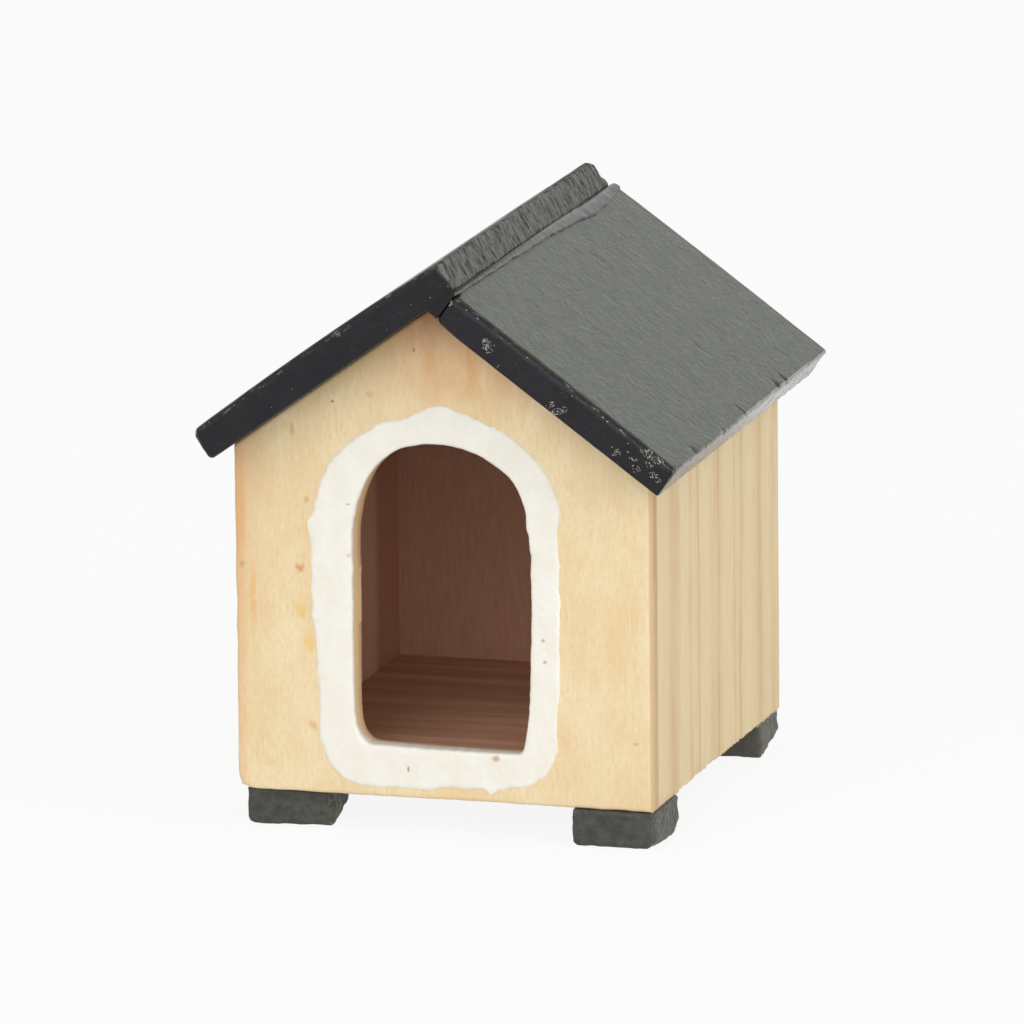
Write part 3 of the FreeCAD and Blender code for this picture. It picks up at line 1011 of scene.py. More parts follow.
# %% Panel builder
def loop_faces(rings, closed):
    """Quads between successive rings of points; closed joins the last ring to the first."""
    count = len(ANGLES)
    here = np.arange(count)
    after = np.roll(here, -1)
    faces = []
    for ring in range(rings if closed else rings - 1):
        a, b = ring * count, (ring + 1) % rings * count
        faces.append(np.stack([a + here, a + after, b + after, b + here], axis=1))
    return np.concatenate(faces)


def panel_edge(seed):
    """The panel's outer edge: straight, but planed and handled, so it wavers inwards a little."""
    edge = gable_reach()
    place = ring_points(edge, 0.0)
    waver = 0.10 * np.abs(rough(place, 5.0, seed)) + 0.05 * np.abs(rough(place, 1.2, seed + 1))
    waver *= 1 - smooth_step(place[:, 2], EAVE_HEIGHT - 2.0, EAVE_HEIGHT - 0.5)
    right_side = smooth_step(place[:, 0], WALL_HALF - 1.0, WALL_HALF - 0.3)
    waver *= 1 - 0.9 * right_side * smooth_step(place[:, 2], 5.0, 7.0)
    corner = np.linalg.norm(place[:, ::2] - (-WALL_HALF, GROUND_GAP), axis=1)
    return edge - waver - 0.55 * np.exp(-(corner / 1.1) ** 2)


def jamb_reach(depth):
    """The sawn doorway: the saw leant, so the left jamb comes inwards towards the rear."""
    left = smooth_step(-OUTWARD[:, 0], 0.35, 0.85)
    return DOOR_REACH - 0.30 * left * depth / PANEL


def front_panel():
    """Section of the front panel at each direction, from the jamb round to the jamb."""
    outer, inner = panel_edge(3), DOOR_REACH
    rings = [(jamb_reach(1.45), 1.45), (jamb_reach(0.55), 0.55), (inner + 0.05, 0.25),
             (inner + 0.22, 0.05)]
    rings += [(inner + 0.48, 0.0), (inner + 0.6, 0.0)]
    rings += [(inner + 0.6 + (outer - inner - 1.3) * share, 0.0)
              for share in (0.12, 0.3, 0.5, 0.7, 0.88)]
    rings += [(outer - 0.7, 0.0), (outer - 0.36, 0.0), (outer - 0.12, 0.09), (outer, 0.34),
              (outer, 1.45)]
    rings += [(outer, PANEL - 0.03), (outer - 0.03, PANEL), (outer - 0.4, PANEL)]
    rear = jamb_reach(PANEL)
    rings += [(rear + 0.4 + (outer - rear - 0.8) * share, PANEL) for share in (0.75, 0.5, 0.25)]
    rings += [(rear + 0.4, PANEL), (rear + 0.12, PANEL), (rear, PANEL - 0.12)]
    points = np.concatenate([ring_points(*ring) for ring in rings])
    return add_piece("front_panel", points, loop_faces(len(rings), True), [panel_wood_front])


def back_panel():
    """The same board without a doorway, closed at its middle by a fan of faces."""
    outer = panel_edge(9)
    face, inside = DEPTH, DEPTH - PANEL
    shares = (0.02, 0.3, 0.6, 0.85)
    rings = [(outer * share, face) for share in shares]
    rings += [(outer - 0.7, face), (outer - 0.4, face), (outer - 0.12, face - 0.1),
              (outer, face - 0.38)]
    rings += [(outer, inside + 0.08), (outer - 0.08, inside), (outer - 0.5, inside)]
    rings += [(outer * share, inside) for share in shares[::-1]]
    points = np.concatenate([ring_points(*ring) for ring in rings])
    faces = loop_faces(len(rings), False).tolist()
    count = len(ANGLES)
    last = len(points)
    points = np.concatenate([points, [[HUB[0], face, HUB[1]], [HUB[0], inside, HUB[1]]]])
    for n in range(count):
        m = (n + 1) % count
        faces.append((m, n, last))
        faces.append((last - count + n, last - count + m, last + 1))
    panel = add_piece("back_panel", points, faces,
                      [panel_wood_back, side_wood_right, side_wood_left])
    for face in panel.data.polygons:
        if abs(face.normal.x) > 0.7:
            face.material_index = 1 if face.normal.x > 0 else 2
    return panel


settle(front_panel(), "front_wall")
settle(back_panel(), "back_wall")

# %% [markdown]
# ## The side walls and the floor
#
# Plain boards, but the saw left the lower edge of the side walls ragged, and
# their corners are a little soft, which draws a fine line where they meet the
# end panels.  Each is a box skin whose lower edge is moved up by noise.

# %% Side walls
LET_IN = 0.08            # how far a side board goes into each end panel


def side_board(side, name, material, seed):
    length, height = DEPTH - 2 * PANEL, EAVE_HEIGHT - GROUND_GAP
    points, faces = box_skin(stations(SIDE, 0.8, 0.10), stations(length, 0.22, 0.10),
                             stations(height, 0.9, 0.10))
    points, away = rounded(points, (SIDE, length, height), 0.02)
    share = points[:, 2] / height
    lean = points[:, 0] * math.tan(PITCH)
    where = points + (0, PANEL, GROUND_GAP)
    ragged = (np.abs(rough(where, (1.6, 0.55, 5.0), seed)) * 0.30
              + np.abs(rough(where, (3.0, 2.6, 9.0), seed + 3)) * 0.22)
    z = (GROUND_GAP + points[:, 2] + lean * share
         + ragged * (1 - smooth_step(points[:, 2], 0.0, 1.2)))
    waves = 0.035 * rough(where, (4.0, 1.6, 26.0), seed + 5) - 0.035
    waves *= smooth_step(points[:, 1], 0.0, 2.5) * smooth_step(length - points[:, 1], 0.0, 2.5)
    x = side * (WALL_HALF - points[:, 0] + waves * (away[:, 0] < -0.5))
    y = PANEL - LET_IN + points[:, 1] * (length + 2 * LET_IN) / length
    wall = add_piece(name, np.stack([x, y, z], axis=1), faces, [material])
    return wall


settle(side_board(1, "right_board", side_wood_right, 21), "right_wall")
settle(side_board(-1, "left_board", side_wood_left, 41), "left_wall")


def floor_piece():
    low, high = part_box("floor")
    low, high = np.array(low) / MM - HOUSE_ORIGIN, np.array(high) / MM - HOUSE_ORIGIN
    size = high - low
    points, faces = box_skin(stations(size[0], 1.2, 0.2), stations(size[1], 0.35, 0.2),
                             stations(size[2], 1.0, 0.2))
    points, away = rounded(points, size, 0.18)
    ribs = 0.03 * rough(points, (22.0, 0.9, 3.0), 61) - 0.04
    points = points + away * (ribs * (away[:, 2] > 0.5))[:, None]
    return add_piece("floor_board", points + low, faces, [floor_board_wood])


settle(floor_piece(), "floor")

# %% [markdown]
# ## The white border
#
# A brush left a band of thick paint round the doorway: its outline wavers, it
# wraps a little way onto the sawn edge of the doorway, and one drip hangs from
# the lower side.  It is made like the panel, from rings between the doorway's
# edge and the band's outline, with a section as thick as paint.

# %% Border of paint
BAND_EDGE = (
    (-15.1, 10.5), (-15.28, 13.0), (-15.18, 16.0), (-15.38, 19.0), (-15.53, 22.0),
    (-15.83, 25.0), (-16.08, 28.0), (-16.03, 31.0), (-15.98, 34.0), (-16.33, 37.0),
    (-15.4, 39.9), (-14.7, 42.5), (-13.3, 44.9), (-11.5, 46.9), (-9.3, 48.4), (-7.1, 49.65),
    (-4.65, 50.2), (-2.4, 51.3), (0.1, 52.05), (2.6, 51.3), (4.95, 50.45), (7.25, 49.5),
    (9.4, 48.2), (11.3, 46.5), (12.95, 44.5), (14.0, 42.2), (14.5, 39.7), (14.22, 37.1),
    (14.45, 34.0), (14.37, 31.0), (14.52, 28.0), (14.42, 25.0), (14.37, 22.0), (14.32, 19.0),
    (14.07, 16.0), (13.97, 13.0), (13.84, 11.0), (12.9, 8.6), (10.8, 7.0), (8.0, 6.25),
    (6.6, 5.95), (5.8, 5.45), (4.9, 6.0), (2.0, 6.05), (0.0, 5.9), (-2.0, 5.6), (-4.0, 5.55),
    (-6.0, 5.7), (-8.0, 5.5), (-11.7, 6.1), (-13.8, 7.95),
)
COAT = 0.19


def border():
    inner, outer = DOOR_REACH, reach_of(closed_curve(BAND_EDGE))
    brink = ring_points(outer, 0.0)
    outer = (outer + 0.13 * rough(brink, 1.9, 70) + 0.10 * rough(brink, 0.8, 71)
             + 0.04 * rough(brink, 0.35, 72))
    wrap = 0.45 + 0.16 * rough(ring_points(inner, 0.0), 2.2, 73)
    sill = smooth_step(-OUTWARD[:, 1], 0.80, 0.88)
    wrap = wrap + 1.5 * sill
    inner = inner + 0.06 * rough(ring_points(inner, 0.0), 0.8, 77) - 0.03
    rings = [(inner + 0.06, wrap + 0.05), (inner - 0.03, wrap - 0.12),
             (inner - 0.04, 0.34 + 0 * inner)]
    rings += [(inner - 0.02, 0.12), (inner + 0.05, -0.03), (inner + 0.16, -0.12),
              (inner + 0.3, -0.17)]
    rings += [(inner + 0.45 + (outer - inner - 0.9) * share, -COAT) for share in
              (0.0, 0.12, 0.24, 0.36, 0.48, 0.6, 0.72, 0.84, 0.94, 1.0)]
    rings += [(outer - 0.22, -COAT + 0.03), (outer - 0.08, -0.10), (outer, -0.02),
              (outer - 0.06, 0.06)]
    rings += [(inner + 0.6, 0.10), (inner + 0.3, 0.20)]
    points = [ring_points(*ring) for ring in rings]
    for number in range(6, 18):
        lumps = (0.04 * rough(points[number], (1.1, 1.0, 1.4), 75, 3)
                 + 0.03 * rough(points[number], 4.0, 79))
        points[number][:, 1] += lumps
    return add_piece("doorway_border", np.concatenate(points), loop_faces(len(rings), True),
                     [band_paint])


settle(border(), "doorway_band")

# %% [markdown]
# ## Geometry Nodes: a coat of paint over sawn wood
#
# Both roof boards and all four feet are blocks under thick paint.  What they
# share is a rule, so one node tree makes it: soft lumps as long as the brush
# pulled them, and across a sawn end the many slanting grooves that the saw
# tore.  Its sizes are named inputs.

# %% The paint tree
def tree_inputs(tree, names):
    """Adds named number inputs, and gives the identifiers by name."""
    tree.interface.new_socket("Geometry", in_out="INPUT", socket_type="NodeSocketGeometry")
    tree.interface.new_socket("Geometry", in_out="OUTPUT", socket_type="NodeSocketGeometry")
    tree.interface.new_socket("Material", in_out="INPUT", socket_type="NodeSocketMaterial")
    for name in names:
        tree.interface.new_socket(name, in_out="INPUT", socket_type="NodeSocketFloat")
    return tree


PAINT_INPUTS = ("Lump Height", "Lump Length", "Lump Width", "Saw Depth", "Saw Pitch", "Saw Slant",
                "Seed")


def paint_tree():
    tree = tree_inputs(bpy.data.node_groups.new("paint_over_sawn_wood", "GeometryNodeTree"),
                       PAINT_INPUTS)
    wires = Wiring(tree)
    given = wires.add("NodeGroupInput").outputs

    def stored(name, kind):
        node = wires.add("GeometryNodeInputNamedAttribute", data_type=kind)
        node.inputs["Name"].default_value = name
        return node.outputs[0]

    board, skin = stored("board", "FLOAT_VECTOR"), stored("skin", "FLOAT_VECTOR")
    sawn = stored("sawn", "FLOAT")
    size = wires.join(given["Lump Length"], given["Lump Width"], given["Lump Width"])
    lumps = wires.noise(board, size, 3.0, 0.5, 0.0, given["Seed"])
    lumps = wires.times(wires.math("SUBTRACT", lumps, 0.5), given["Lump Height"])
    _, back, off = wires.split(board)
    slanted = wires.linear(off, given["Saw Slant"], back)
    torn = wires.join(0.0, slanted, wires.times(off, 0.26))
    pitch = wires.join(1.0, given["Saw Pitch"], given["Saw Pitch"])
    groove = wires.noise(torn, pitch, 3.0, 0.62, 0.7, given["Seed"])
    groove = wires.between(groove, 0.62, 0.36)
    patch = wires.noise(wires.join(0.0, back, off), (1.0, 3.2, 3.2), 2.0, 0.5, 0.0, given["Seed"])
    groove = wires.times(groove, wires.linear(patch, 1.2, 0.2))
    cut = wires.times(groove, sawn, given["Saw Depth"])
    push = wires.times(wires.math("SUBTRACT", lumps, cut), MM)
    offset = wires.vector("SCALE", skin)
    wires.feed(offset.node.inputs["Scale"], push)
    moved = wires.add("GeometryNodeSetPosition",
                      {"Geometry": given["Geometry"], "Offset": offset}).outputs[0]
    real = wires.add("GeometryNodeRealizeInstances", {0: moved}).outputs[0]
    dressed = wires.add("GeometryNodeSetMaterial",
                        {"Geometry": real, "Material": given["Material"]}).outputs[0]
    wires.add("NodeGroupOutput", {0: dressed})
    return tree


def run_tree(piece, tree, material, **values):
    """Runs a tree on a piece and keeps the result as its plain mesh."""
    modifier = piece.modifiers.new(tree.name, "NODES")
    modifier.node_group = tree
    names = {item.name: item.identifier for item in tree.interface.items_tree
             if item.in_out == "INPUT"}
    modifier[names["Material"]] = material
    for name, value in values.items():
        modifier[names[name.replace("_", " ").title()]] = float(value)
    piece.update_tag()
    bpy.context.view_layer.update()
    graph = bpy.context.evaluated_depsgraph_get()
    made = bpy.data.meshes.new_from_object(piece.evaluated_get(graph),
                                           preserve_all_data_layers=True, depsgraph=graph)
    old = piece.data
    piece.modifiers.clear()
    piece.data = made
    bpy.data.meshes.remove(old)
    made.name = piece.name
    for layer in ("board", "skin", "turn", "size"):
        if layer in made.attributes:
            made.attributes.remove(made.attributes[layer])
    return piece


painted = paint_tree()


def store(piece, name, kind, values):
    """Keeps a number or a direction with each point, for the tree and for the paint."""
    layer = piece.data.attributes.new(name, kind, "POINT")
    key = "vector" if kind == "FLOAT_VECTOR" else "value"
    layer.data.foreach_set(key, np.asarray(values, np.float32).ravel())


# %% [markdown]
# ## The roof boards
#
# Each board is drawn in its own terms: how far up the slope, how far back, how
# far off the slope.  The left board runs on past the ridge, and its sawn end is
# the ribbed strip along the top, with a torn upper edge.  The brush left both
# boards slightly crowned, and their corners are worn rounder than a machine
# would leave them.

# %% Roof boards
# How far up the slope a board ends at the ridge, at the front and at the rear
RIDGE_ENDS = {-1: (36.659, 35.159), 1: (29.932, 29.932)}
EAVE_ENDS = {-1: (-1.2, -1.2), 1: (-3.5, -2.85)}


def slope_place(side, up, back, lift):
    """House coordinates of a place on a slope."""
    x = WALL_HALF - up * math.cos(PITCH) + lift * math.sin(PITCH)
    z = EAVE_HEIGHT + up * math.sin(PITCH) + lift * math.cos(PITCH)
    return np.stack([side * x, back, z], axis=1)


def slope_direction(side, away):
    """House direction of a direction (up the slope, back, off the slope)."""
    x = -away[:, 0] * math.cos(PITCH) + away[:, 2] * math.sin(PITCH)
    z = away[:, 0] * math.sin(PITCH) + away[:, 2] * math.cos(PITCH)
    return np.stack([side * x, away[:, 1], z], axis=1)


FRONT_EASE = {-1: 0.35, 1: 0.45}          # how much rounder the upper front edge is
EDGE_ROOM = 1.1                            # the most that an edge can be rounded
CHIP_ROOM = 0.06                           # kept free at the ends for what stands on them
# Dents and nicks: up the slope, back, half width up, half width back, depth
DENTS = {
    1: ((-2.6, 39.75, 0.9, 0.5, 0.24), (-2.8, 43.3, 1.2, 0.25, 0.24), (-2.6, 24.6, 1.1, 0.20, 0.16),
        (-2.8, 3.0, 0.55, 0.9, 0.20), (-3.3, 14.8, 0.4, 0.5, 0.22), (-3.3, 31.0, 0.4, 0.7, 0.20),
        (7.4, 32.8, 1.2, 0.2, 0.05), (23.4, 35.6, 0.7, 0.35, 0.08), (11.0, 51.0, 0.35, 0.9, 0.06),
        (6.9, 7.7, 0.25, 0.4, 0.05), (14.0, 12.0, 1.0, 0.3, 0.04), (18.0, 27.0, 0.8, 0.4, 0.05)),
    -1: ((8.0, 15.0, 1.5, 0.4, 0.08), (20.0, 40.0, 0.8, 0.6, 0.08), (28.0, 8.0, 1.2, 0.3, 0.06)),
}


def edge_radius(side, points, size, seed):
    """How round the board's edges are at each point: soft in front, and worn at one corner."""
    length, width, _ = size
    high_up = smooth_step(points[:, 2], 1.4, 3.0)
    radius = 0.40 + 0.10 * rough(points, (5.0, 5.0, 5.0), seed)
    radius = radius + FRONT_EASE[side] * high_up * np.exp(-(points[:, 1] / 1.6) ** 2)
    worn = (length, width, THICK) if side < 0 else (length, 0.0, THICK / 2)
    reach = (1.0, 1.0, 1.0) if side < 0 else (1.0, 1.0, 0.25)
    radius = radius + 0.70 * np.exp(-(np.linalg.norm((points - worn) * reach, axis=1) / 1.9) ** 2)
    if side < 0:
        radius = radius + 0.35 * np.exp(-(points[:, 0] / 1.5) ** 2)
    return np.clip(radius, 0.25, EDGE_ROOM)


def dents(side, up, back, height):
    """How deep the dents are at each point."""
    depths = 0
    for centre, behind, half_up, half_back, depth in DENTS[side]:
        dent = np.exp(-((up - centre) / half_up) ** 2 - ((back - behind) / half_back) ** 2)
        depths = depths + depth * dent * smooth_step(height, THICK * 0.55, THICK)
    return depths


def ridge_nicks(back, height, from_ridge, seed):
    """The torn upper edge of the left board's sawn end, fading out down the slope."""
    line = np.stack([0 * back, back, 0 * back], axis=1)
    nicks = 0.36 * np.abs(rough(line, (1.0, 2.0, 1.0), seed + 7, 3))
    nicks = nicks + 0.14 * np.abs(rough(line, (1.0, 0.7, 1.0), seed + 9)) - 0.09
    return nicks * smooth_step(height, THICK * 0.6, THICK) * np.exp(-(from_ridge / 4.0) ** 2)


# %% [markdown]
# One board starts as a box with rounded edges.  Its points are then moved: out
# to its skewed ends, up for the crown of the paint, and down for each dent.

# %% One roof board
def roof_board(side, name, seed):
    length = RIDGE_ENDS[side][0] - EAVE_ENDS[side][0]
    width = DEPTH + FRONT_OVER + REAR_OVER - 2 * CHIP_ROOM
    size = (length, width, THICK)
    steps = (0.5, 0.27, 0.2)
    points, faces = box_skin(*(stations(part, step, EDGE_ROOM) for part, step in zip(size, steps)))
    local, away = rounded(points, size, edge_radius(side, points, size, seed))
    share, run, height = local[:, 0] / length, local[:, 1] / width, local[:, 2]
    back, from_ridge = local[:, 1] - FRONT_OVER + CHIP_ROOM, length - local[:, 0]
    low = EAVE_ENDS[side][0] + (EAVE_ENDS[side][1] - EAVE_ENDS[side][0]) * run
    high = RIDGE_ENDS[side][0] + (RIDGE_ENDS[side][1] - RIDGE_ENDS[side][0]) * run
    up = low + (high - low) * share
    top = smooth_step(away[:, 2], 0.2, 0.9)
    crown, ridge_end = 0.10, 0.0
    if side < 0:
        crown = 0.34 * (1 - 0.9 * np.exp(-(from_ridge / 6.0) ** 2))
        ridge_end = np.maximum(smooth_step(away[:, 0], 0.05, 0.5),
                               1.5 * top * np.exp(-((from_ridge - 0.4) / 1.0) ** 2))
    lift = height + top * (crown * np.sin(math.pi * np.clip(share, 0, 1)) ** 0.8 - 0.06)
    lift = lift - dents(side, up, back, height)
    if side < 0:
        lift = lift - ridge_nicks(back, height, from_ridge, seed)
    piece = add_piece(name, slope_place(side, up, back, lift), faces, [roof_paint[side]])
    store(piece, "board", "FLOAT_VECTOR", np.stack([up, back, lift], axis=1))
    store(piece, "skin", "FLOAT_VECTOR", slope_direction(side, away))
    store(piece, "sawn", "FLOAT", ridge_end + 0.25 * smooth_step(-away[:, 0], 0.5, 0.9))
    run_tree(piece, painted, roof_paint[side], lump_height=0.05, lump_length=3.2, lump_width=1.4,
             saw_depth=0.36, saw_pitch=1.25, saw_slant=SAW_SLANT, seed=seed)
    return piece


left_roof = settle(roof_board(-1, "left_roof", 5), "left_roof_board")
right_roof = settle(roof_board(1, "right_roof", 12), "right_roof_board")

# %% [markdown]
# ## The paint in the ridge joint
#
# The left board's end stands a little over the right board, and the wedge
# between them is full of black paint.  It has run out on the right board and
# dried there as a smooth strip with a rolled lower edge, widest near the
# rear.  The strip and the filling are one closed section, drawn across the
# joint and swept along it.

# %% Ridge paint
PAINT_WIDTHS = (
    (0.0, 0.30), (0.04, 0.45), (0.35, 0.65), (0.55, 0.95), (0.70, 1.35), (0.80, 1.85),
    (0.88, 1.75), (0.95, 1.25), (1.0, 0.70),
)
COAT_RISE = 0.17


def ridge_section(run, back):
    """The ridge paint's section at one place: points (up the right slope, off it), all round."""
    lap = RIDGE_ENDS[-1][0] + (RIDGE_ENDS[-1][1] - RIDGE_ENDS[-1][0]) * run
    a, b = 2 * WALL_HALF - lap * math.cos(PITCH), lap * math.sin(PITCH)
    corner = np.array([a * math.cos(PITCH) + b * math.sin(PITCH),
                       b * math.cos(PITCH) - a * math.sin(PITCH)])
    # Along the left board's sawn end, and away from that end, down the left board
    out_of_board = np.array([math.sin(2 * PITCH), math.cos(2 * PITCH)])
    into_board = np.array([math.cos(2 * PITCH), -math.sin(2 * PITCH)])
    touch = corner + out_of_board * 0.12
    edge = RIDGE_ENDS[1][0]
    here = np.array([[back, back, back]])
    wide = (np.interp(run, *zip(*PAINT_WIDTHS)) + 0.13 * rough(here, 5.0, 91)[0]
            + 0.03 * rough(here, 1.3, 92)[0])
    lip = edge - wide
    section = [touch + into_board * 0.10, touch]
    for share in (0.15, 0.3, 0.45, 0.6, 0.75, 0.88):
        height = COAT_RISE + (touch[1] - THICK - COAT_RISE) * (1 - share) ** 5
        up = touch[0] + (lip - touch[0]) * share
        section.append((up, THICK + height + 0.03 * rough(np.array([[up, back, 0.0]]), 1.4, 93)[0]))
    section += [(lip + 0.16, THICK + 0.13), (lip + 0.06, THICK + 0.08), (lip, THICK + 0.01),
                (lip + 0.06, THICK - 0.15)]
    section += [(edge - 0.2, THICK - 0.45), (edge - 0.15, THICK - 3.6)]
    under = corner + into_board * (corner[1] - (THICK - 3.6)) / math.sin(2 * PITCH)
    section += [under + out_of_board * 0.15, corner + out_of_board * 0.15 + into_board * 0.15]
    return np.array([tuple(point) for point in section])


def ridge_filling():
    width = DEPTH + FRONT_OVER + REAR_OVER
    runs = np.linspace(0.25, width - 0.30, 260) / width
    rings = []
    for run in runs:
        back = -FRONT_OVER + run * width
        section = ridge_section(run, back)
        rings.append(slope_place(1, section[:, 0], np.full(len(section), back), section[:, 1]))
    total, count = len(rings[0]), len(rings)
    faces = [(i * total + j, (i + 1) * total + j, (i + 1) * total + (j + 1) % total,
              i * total + (j + 1) % total)
             for i in range(count - 1) for j in range(total)]
    faces += [list(range(total)), [(count - 1) * total + j for j in reversed(range(total))]]
    return add_piece("ridge_paint", np.concatenate(rings), faces, [ridge_paint], sharp=40)


settle(ridge_filling(), None)

# %% [markdown]
# ## The feet
#
# Four blocks cut and placed by hand.  Each is a box skin with wide soft
# corners, faces that lean a degree or two, and the same coat of paint from the
# node tree with deeper, shorter lumps.

# %% Feet
FOOT_SIZES = {
    # CAD node: width, depth, turn in degrees, seed
    "front_left_foot": (10.35, 9.2, 6.4, 101),
    "front_right_foot": (10.35, 10.5, 0.8, 111),
    "rear_left_foot": (10.35, 9.8, -2.0, 121),
    "rear_right_foot": (10.35, 9.0, 2.5, 131),
}
# Where a knife took a corner off: a place on the cut, from the foot's middle, and the way it faces
FOOT_CUTS = {
    "front_left_foot": (((4.75, -4.3, 0.0), (0.8, -0.6, 0.05)),
                        ((-4.8, -4.3, -1.9), (-0.6, -0.5, -0.6)),
                        ((5.0, 0.0, -1.75), (0.7, 0.1, -0.7))),
    "front_right_foot": (((4.9, 4.6, -1.2), (0.6, 0.55, -0.6)),
                         ((-4.9, -5.0, -1.7), (-0.6, -0.4, -0.7)),
                         ((5.05, -1.5, -1.8), (0.65, -0.1, -0.75)),
                         ((4.85, -5.0, 0.5), (0.7, -0.7, 0.1))),
    "rear_left_foot": (((-4.9, 4.5, -1.6), (-0.6, 0.5, -0.6)), ((4.8, 4.5, 0.0), (0.7, 0.7, 0.0))),
    "rear_right_foot": (((4.85, 1.0, -1.45), (0.75, 0.15, -0.65)),
                        ((4.8, 4.2, -0.8), (0.6, 0.6, -0.5)),
                        ((-4.9, -4.2, -1.7), (-0.6, -0.4, -0.7))),
}


def foot(node, width, depth, turn, seed):
    low, high = (np.array(corner) / MM - HOUSE_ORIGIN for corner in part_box(node))
    size = np.array([width, depth, high[2] - low[2]])
    points, faces = box_skin(*(stations(length, 0.26, 1.2) for length in size))
    radius = 0.42 + 0.16 * rough(points, (4.0, 4.0, 3.0), seed)
    local, away = rounded(points, size, np.clip(radius, 0.22, 1.2))
    centred = local - size / 2
    sides = 1 - smooth_step(np.abs(away[:, 2]), 0.6, 0.95)
    chopped = (0.13 * np.abs(rough(local, (3.6, 3.6, 2.6), seed + 1, 3))
               + 0.05 * rough(local, 0.9, seed + 2))
    centred = centred - away * (chopped * sides)[:, None]
    for place, facing in FOOT_CUTS[node]:
        facing = np.array(facing) / np.linalg.norm(facing)
        beyond = (centred - place) @ facing + 0.05 * rough(local, 1.2, seed + 4)
        centred -= np.outer(np.maximum(beyond, 0), facing)
    belly = 0.16 * np.exp(-((centred[:, 2] + 0.5) / 1.3) ** 2) * smooth_step(away[:, 0], 0.4, 0.9)
    centred[:, 0] += belly - 0.08
    angle = math.radians(turn)
    x = centred[:, 0] * math.cos(angle) - centred[:, 1] * math.sin(angle)
    y = centred[:, 0] * math.sin(angle) + centred[:, 1] * math.cos(angle)
    middle = (low + high) / 2
    low_down = 1 - smooth_step(centred[:, 2], -size[2] / 2, 0.0)
    near_rim = smooth_step(np.linalg.norm(centred[:, :2] / size[:2], axis=1), 0.42, 0.5)
    rise = 0.14 * np.abs(rough(local, (2.0, 2.0, 50.0), seed + 6)) * low_down * near_rim
    world = np.stack([x + middle[0], y + middle[1], centred[:, 2] + middle[2] + rise], axis=1)
    piece = add_piece(node.replace("foot", "block"), world, faces, [foot_paint])
    store(piece, "board", "FLOAT_VECTOR", local + seed)
    store(piece, "skin", "FLOAT_VECTOR", away * (np.abs(away[:, 2:3]) < 0.9))
    store(piece, "sawn", "FLOAT", 0.45 * smooth_step(np.abs(away[:, 0]), 0.7, 0.95))
    run_tree(piece, painted, foot_paint, lump_height=0.14, lump_length=1.3, lump_width=1.0,
             saw_depth=0.30, saw_pitch=1.1, saw_slant=0.5, seed=seed)
    return piece


feet = {node: settle(foot(node, *sizes), node) for node, sizes in FOOT_SIZES.items()}

# %% [markdown]
# ## Geometry Nodes: chips, scratches, splinters and glue
#
# Small knocks have broken the black paint down to pale wood, the saw left a
# fringe of splinters on the side wall, and brown glue shows over the feet.
# All of these are small crumbs on a surface.  One tree puts a rough crumb on
# each of a list of points, turned and stretched by attributes of that point,
# so a chip, a scratch and a splinter only differ in their numbers.

# %% The crumb tree
CRUMB_INPUTS = ("Ragged", "Grain", "Seed")


def crumb_tree():
    tree = tree_inputs(bpy.data.node_groups.new("crumbs_on_a_surface", "GeometryNodeTree"),
                       CRUMB_INPUTS)
    wires = Wiring(tree)
    given = wires.add("NodeGroupInput").outputs

    def stored(name):
        node = wires.add("GeometryNodeInputNamedAttribute", data_type="FLOAT_VECTOR")
        node.inputs["Name"].default_value = name
        return node.outputs[0]

    ball = wires.add("GeometryNodeMeshIcoSphere", {"Radius": 1.0, "Subdivisions": 1}).outputs[0]
    placed = wires.add("GeometryNodeInstanceOnPoints", {
        "Points": given["Geometry"], "Instance": ball, "Rotation": stored("turn"),
        "Scale": stored("size")}).outputs[0]
    real = wires.add("GeometryNodeRealizeInstances", {0: placed}).outputs[0]
    grain = wires.times(given["Grain"], MM)
    where = wires.vector("DIVIDE", wires.add("GeometryNodeInputPosition").outputs[0],
                         wires.join(grain, grain, grain))
    bits = wires.add("ShaderNodeTexNoise",
                     {"Vector": where, "W": given["Seed"], "Scale": 1.0, "Detail": 1.0},
                     noise_dimensions="4D").outputs["Color"]
    push = wires.vector("SCALE", wires.vector("SUBTRACT", bits, (0.5, 0.5, 0.5)))
    wires.feed(push.node.inputs["Scale"], wires.times(given["Ragged"], MM))
    moved = wires.add("GeometryNodeSetPosition", {"Geometry": real, "Offset": push}).outputs[0]
    dressed = wires.add("GeometryNodeSetMaterial",
                        {"Geometry": moved, "Material": given["Material"]}).outputs[0]
    wires.add("NodeGroupOutput", {0: dressed})
    return tree


crumbs = crumb_tree()


def crumb_piece(name, slot, places, along, sizes, material, surface=None, facing=(1, 0, 0),
                **values):
    """Crumbs at house places, long along a direction, on a surface if given; sizes are halves."""
    skin = BVHTree.FromPolygons([v.co for v in surface.data.vertices],
                                [f.vertices for f in surface.data.polygons]) if surface else None
    points, turns = [], []
    for place, direction in zip(places, along):
        place, normal = Vector((np.array(place) + HOUSE_ORIGIN) * MM), Vector(facing)
        if skin:
            place, normal, _, _ = skin.find_nearest(place)
        direction = Vector(direction) - normal * Vector(direction).dot(normal)
        direction.normalize()
        turns.append(Matrix((direction, normal.cross(direction), normal)).transposed().to_euler())
        points.append(np.array(place) / MM - HOUSE_ORIGIN)
    piece = add_piece(name, points, [], [material])
    store(piece, "turn", "FLOAT_VECTOR", turns)
    store(piece, "size", "FLOAT_VECTOR", np.array(sizes) * MM)
    run_tree(piece, crumbs, material, **values)
    return settle(piece, None)


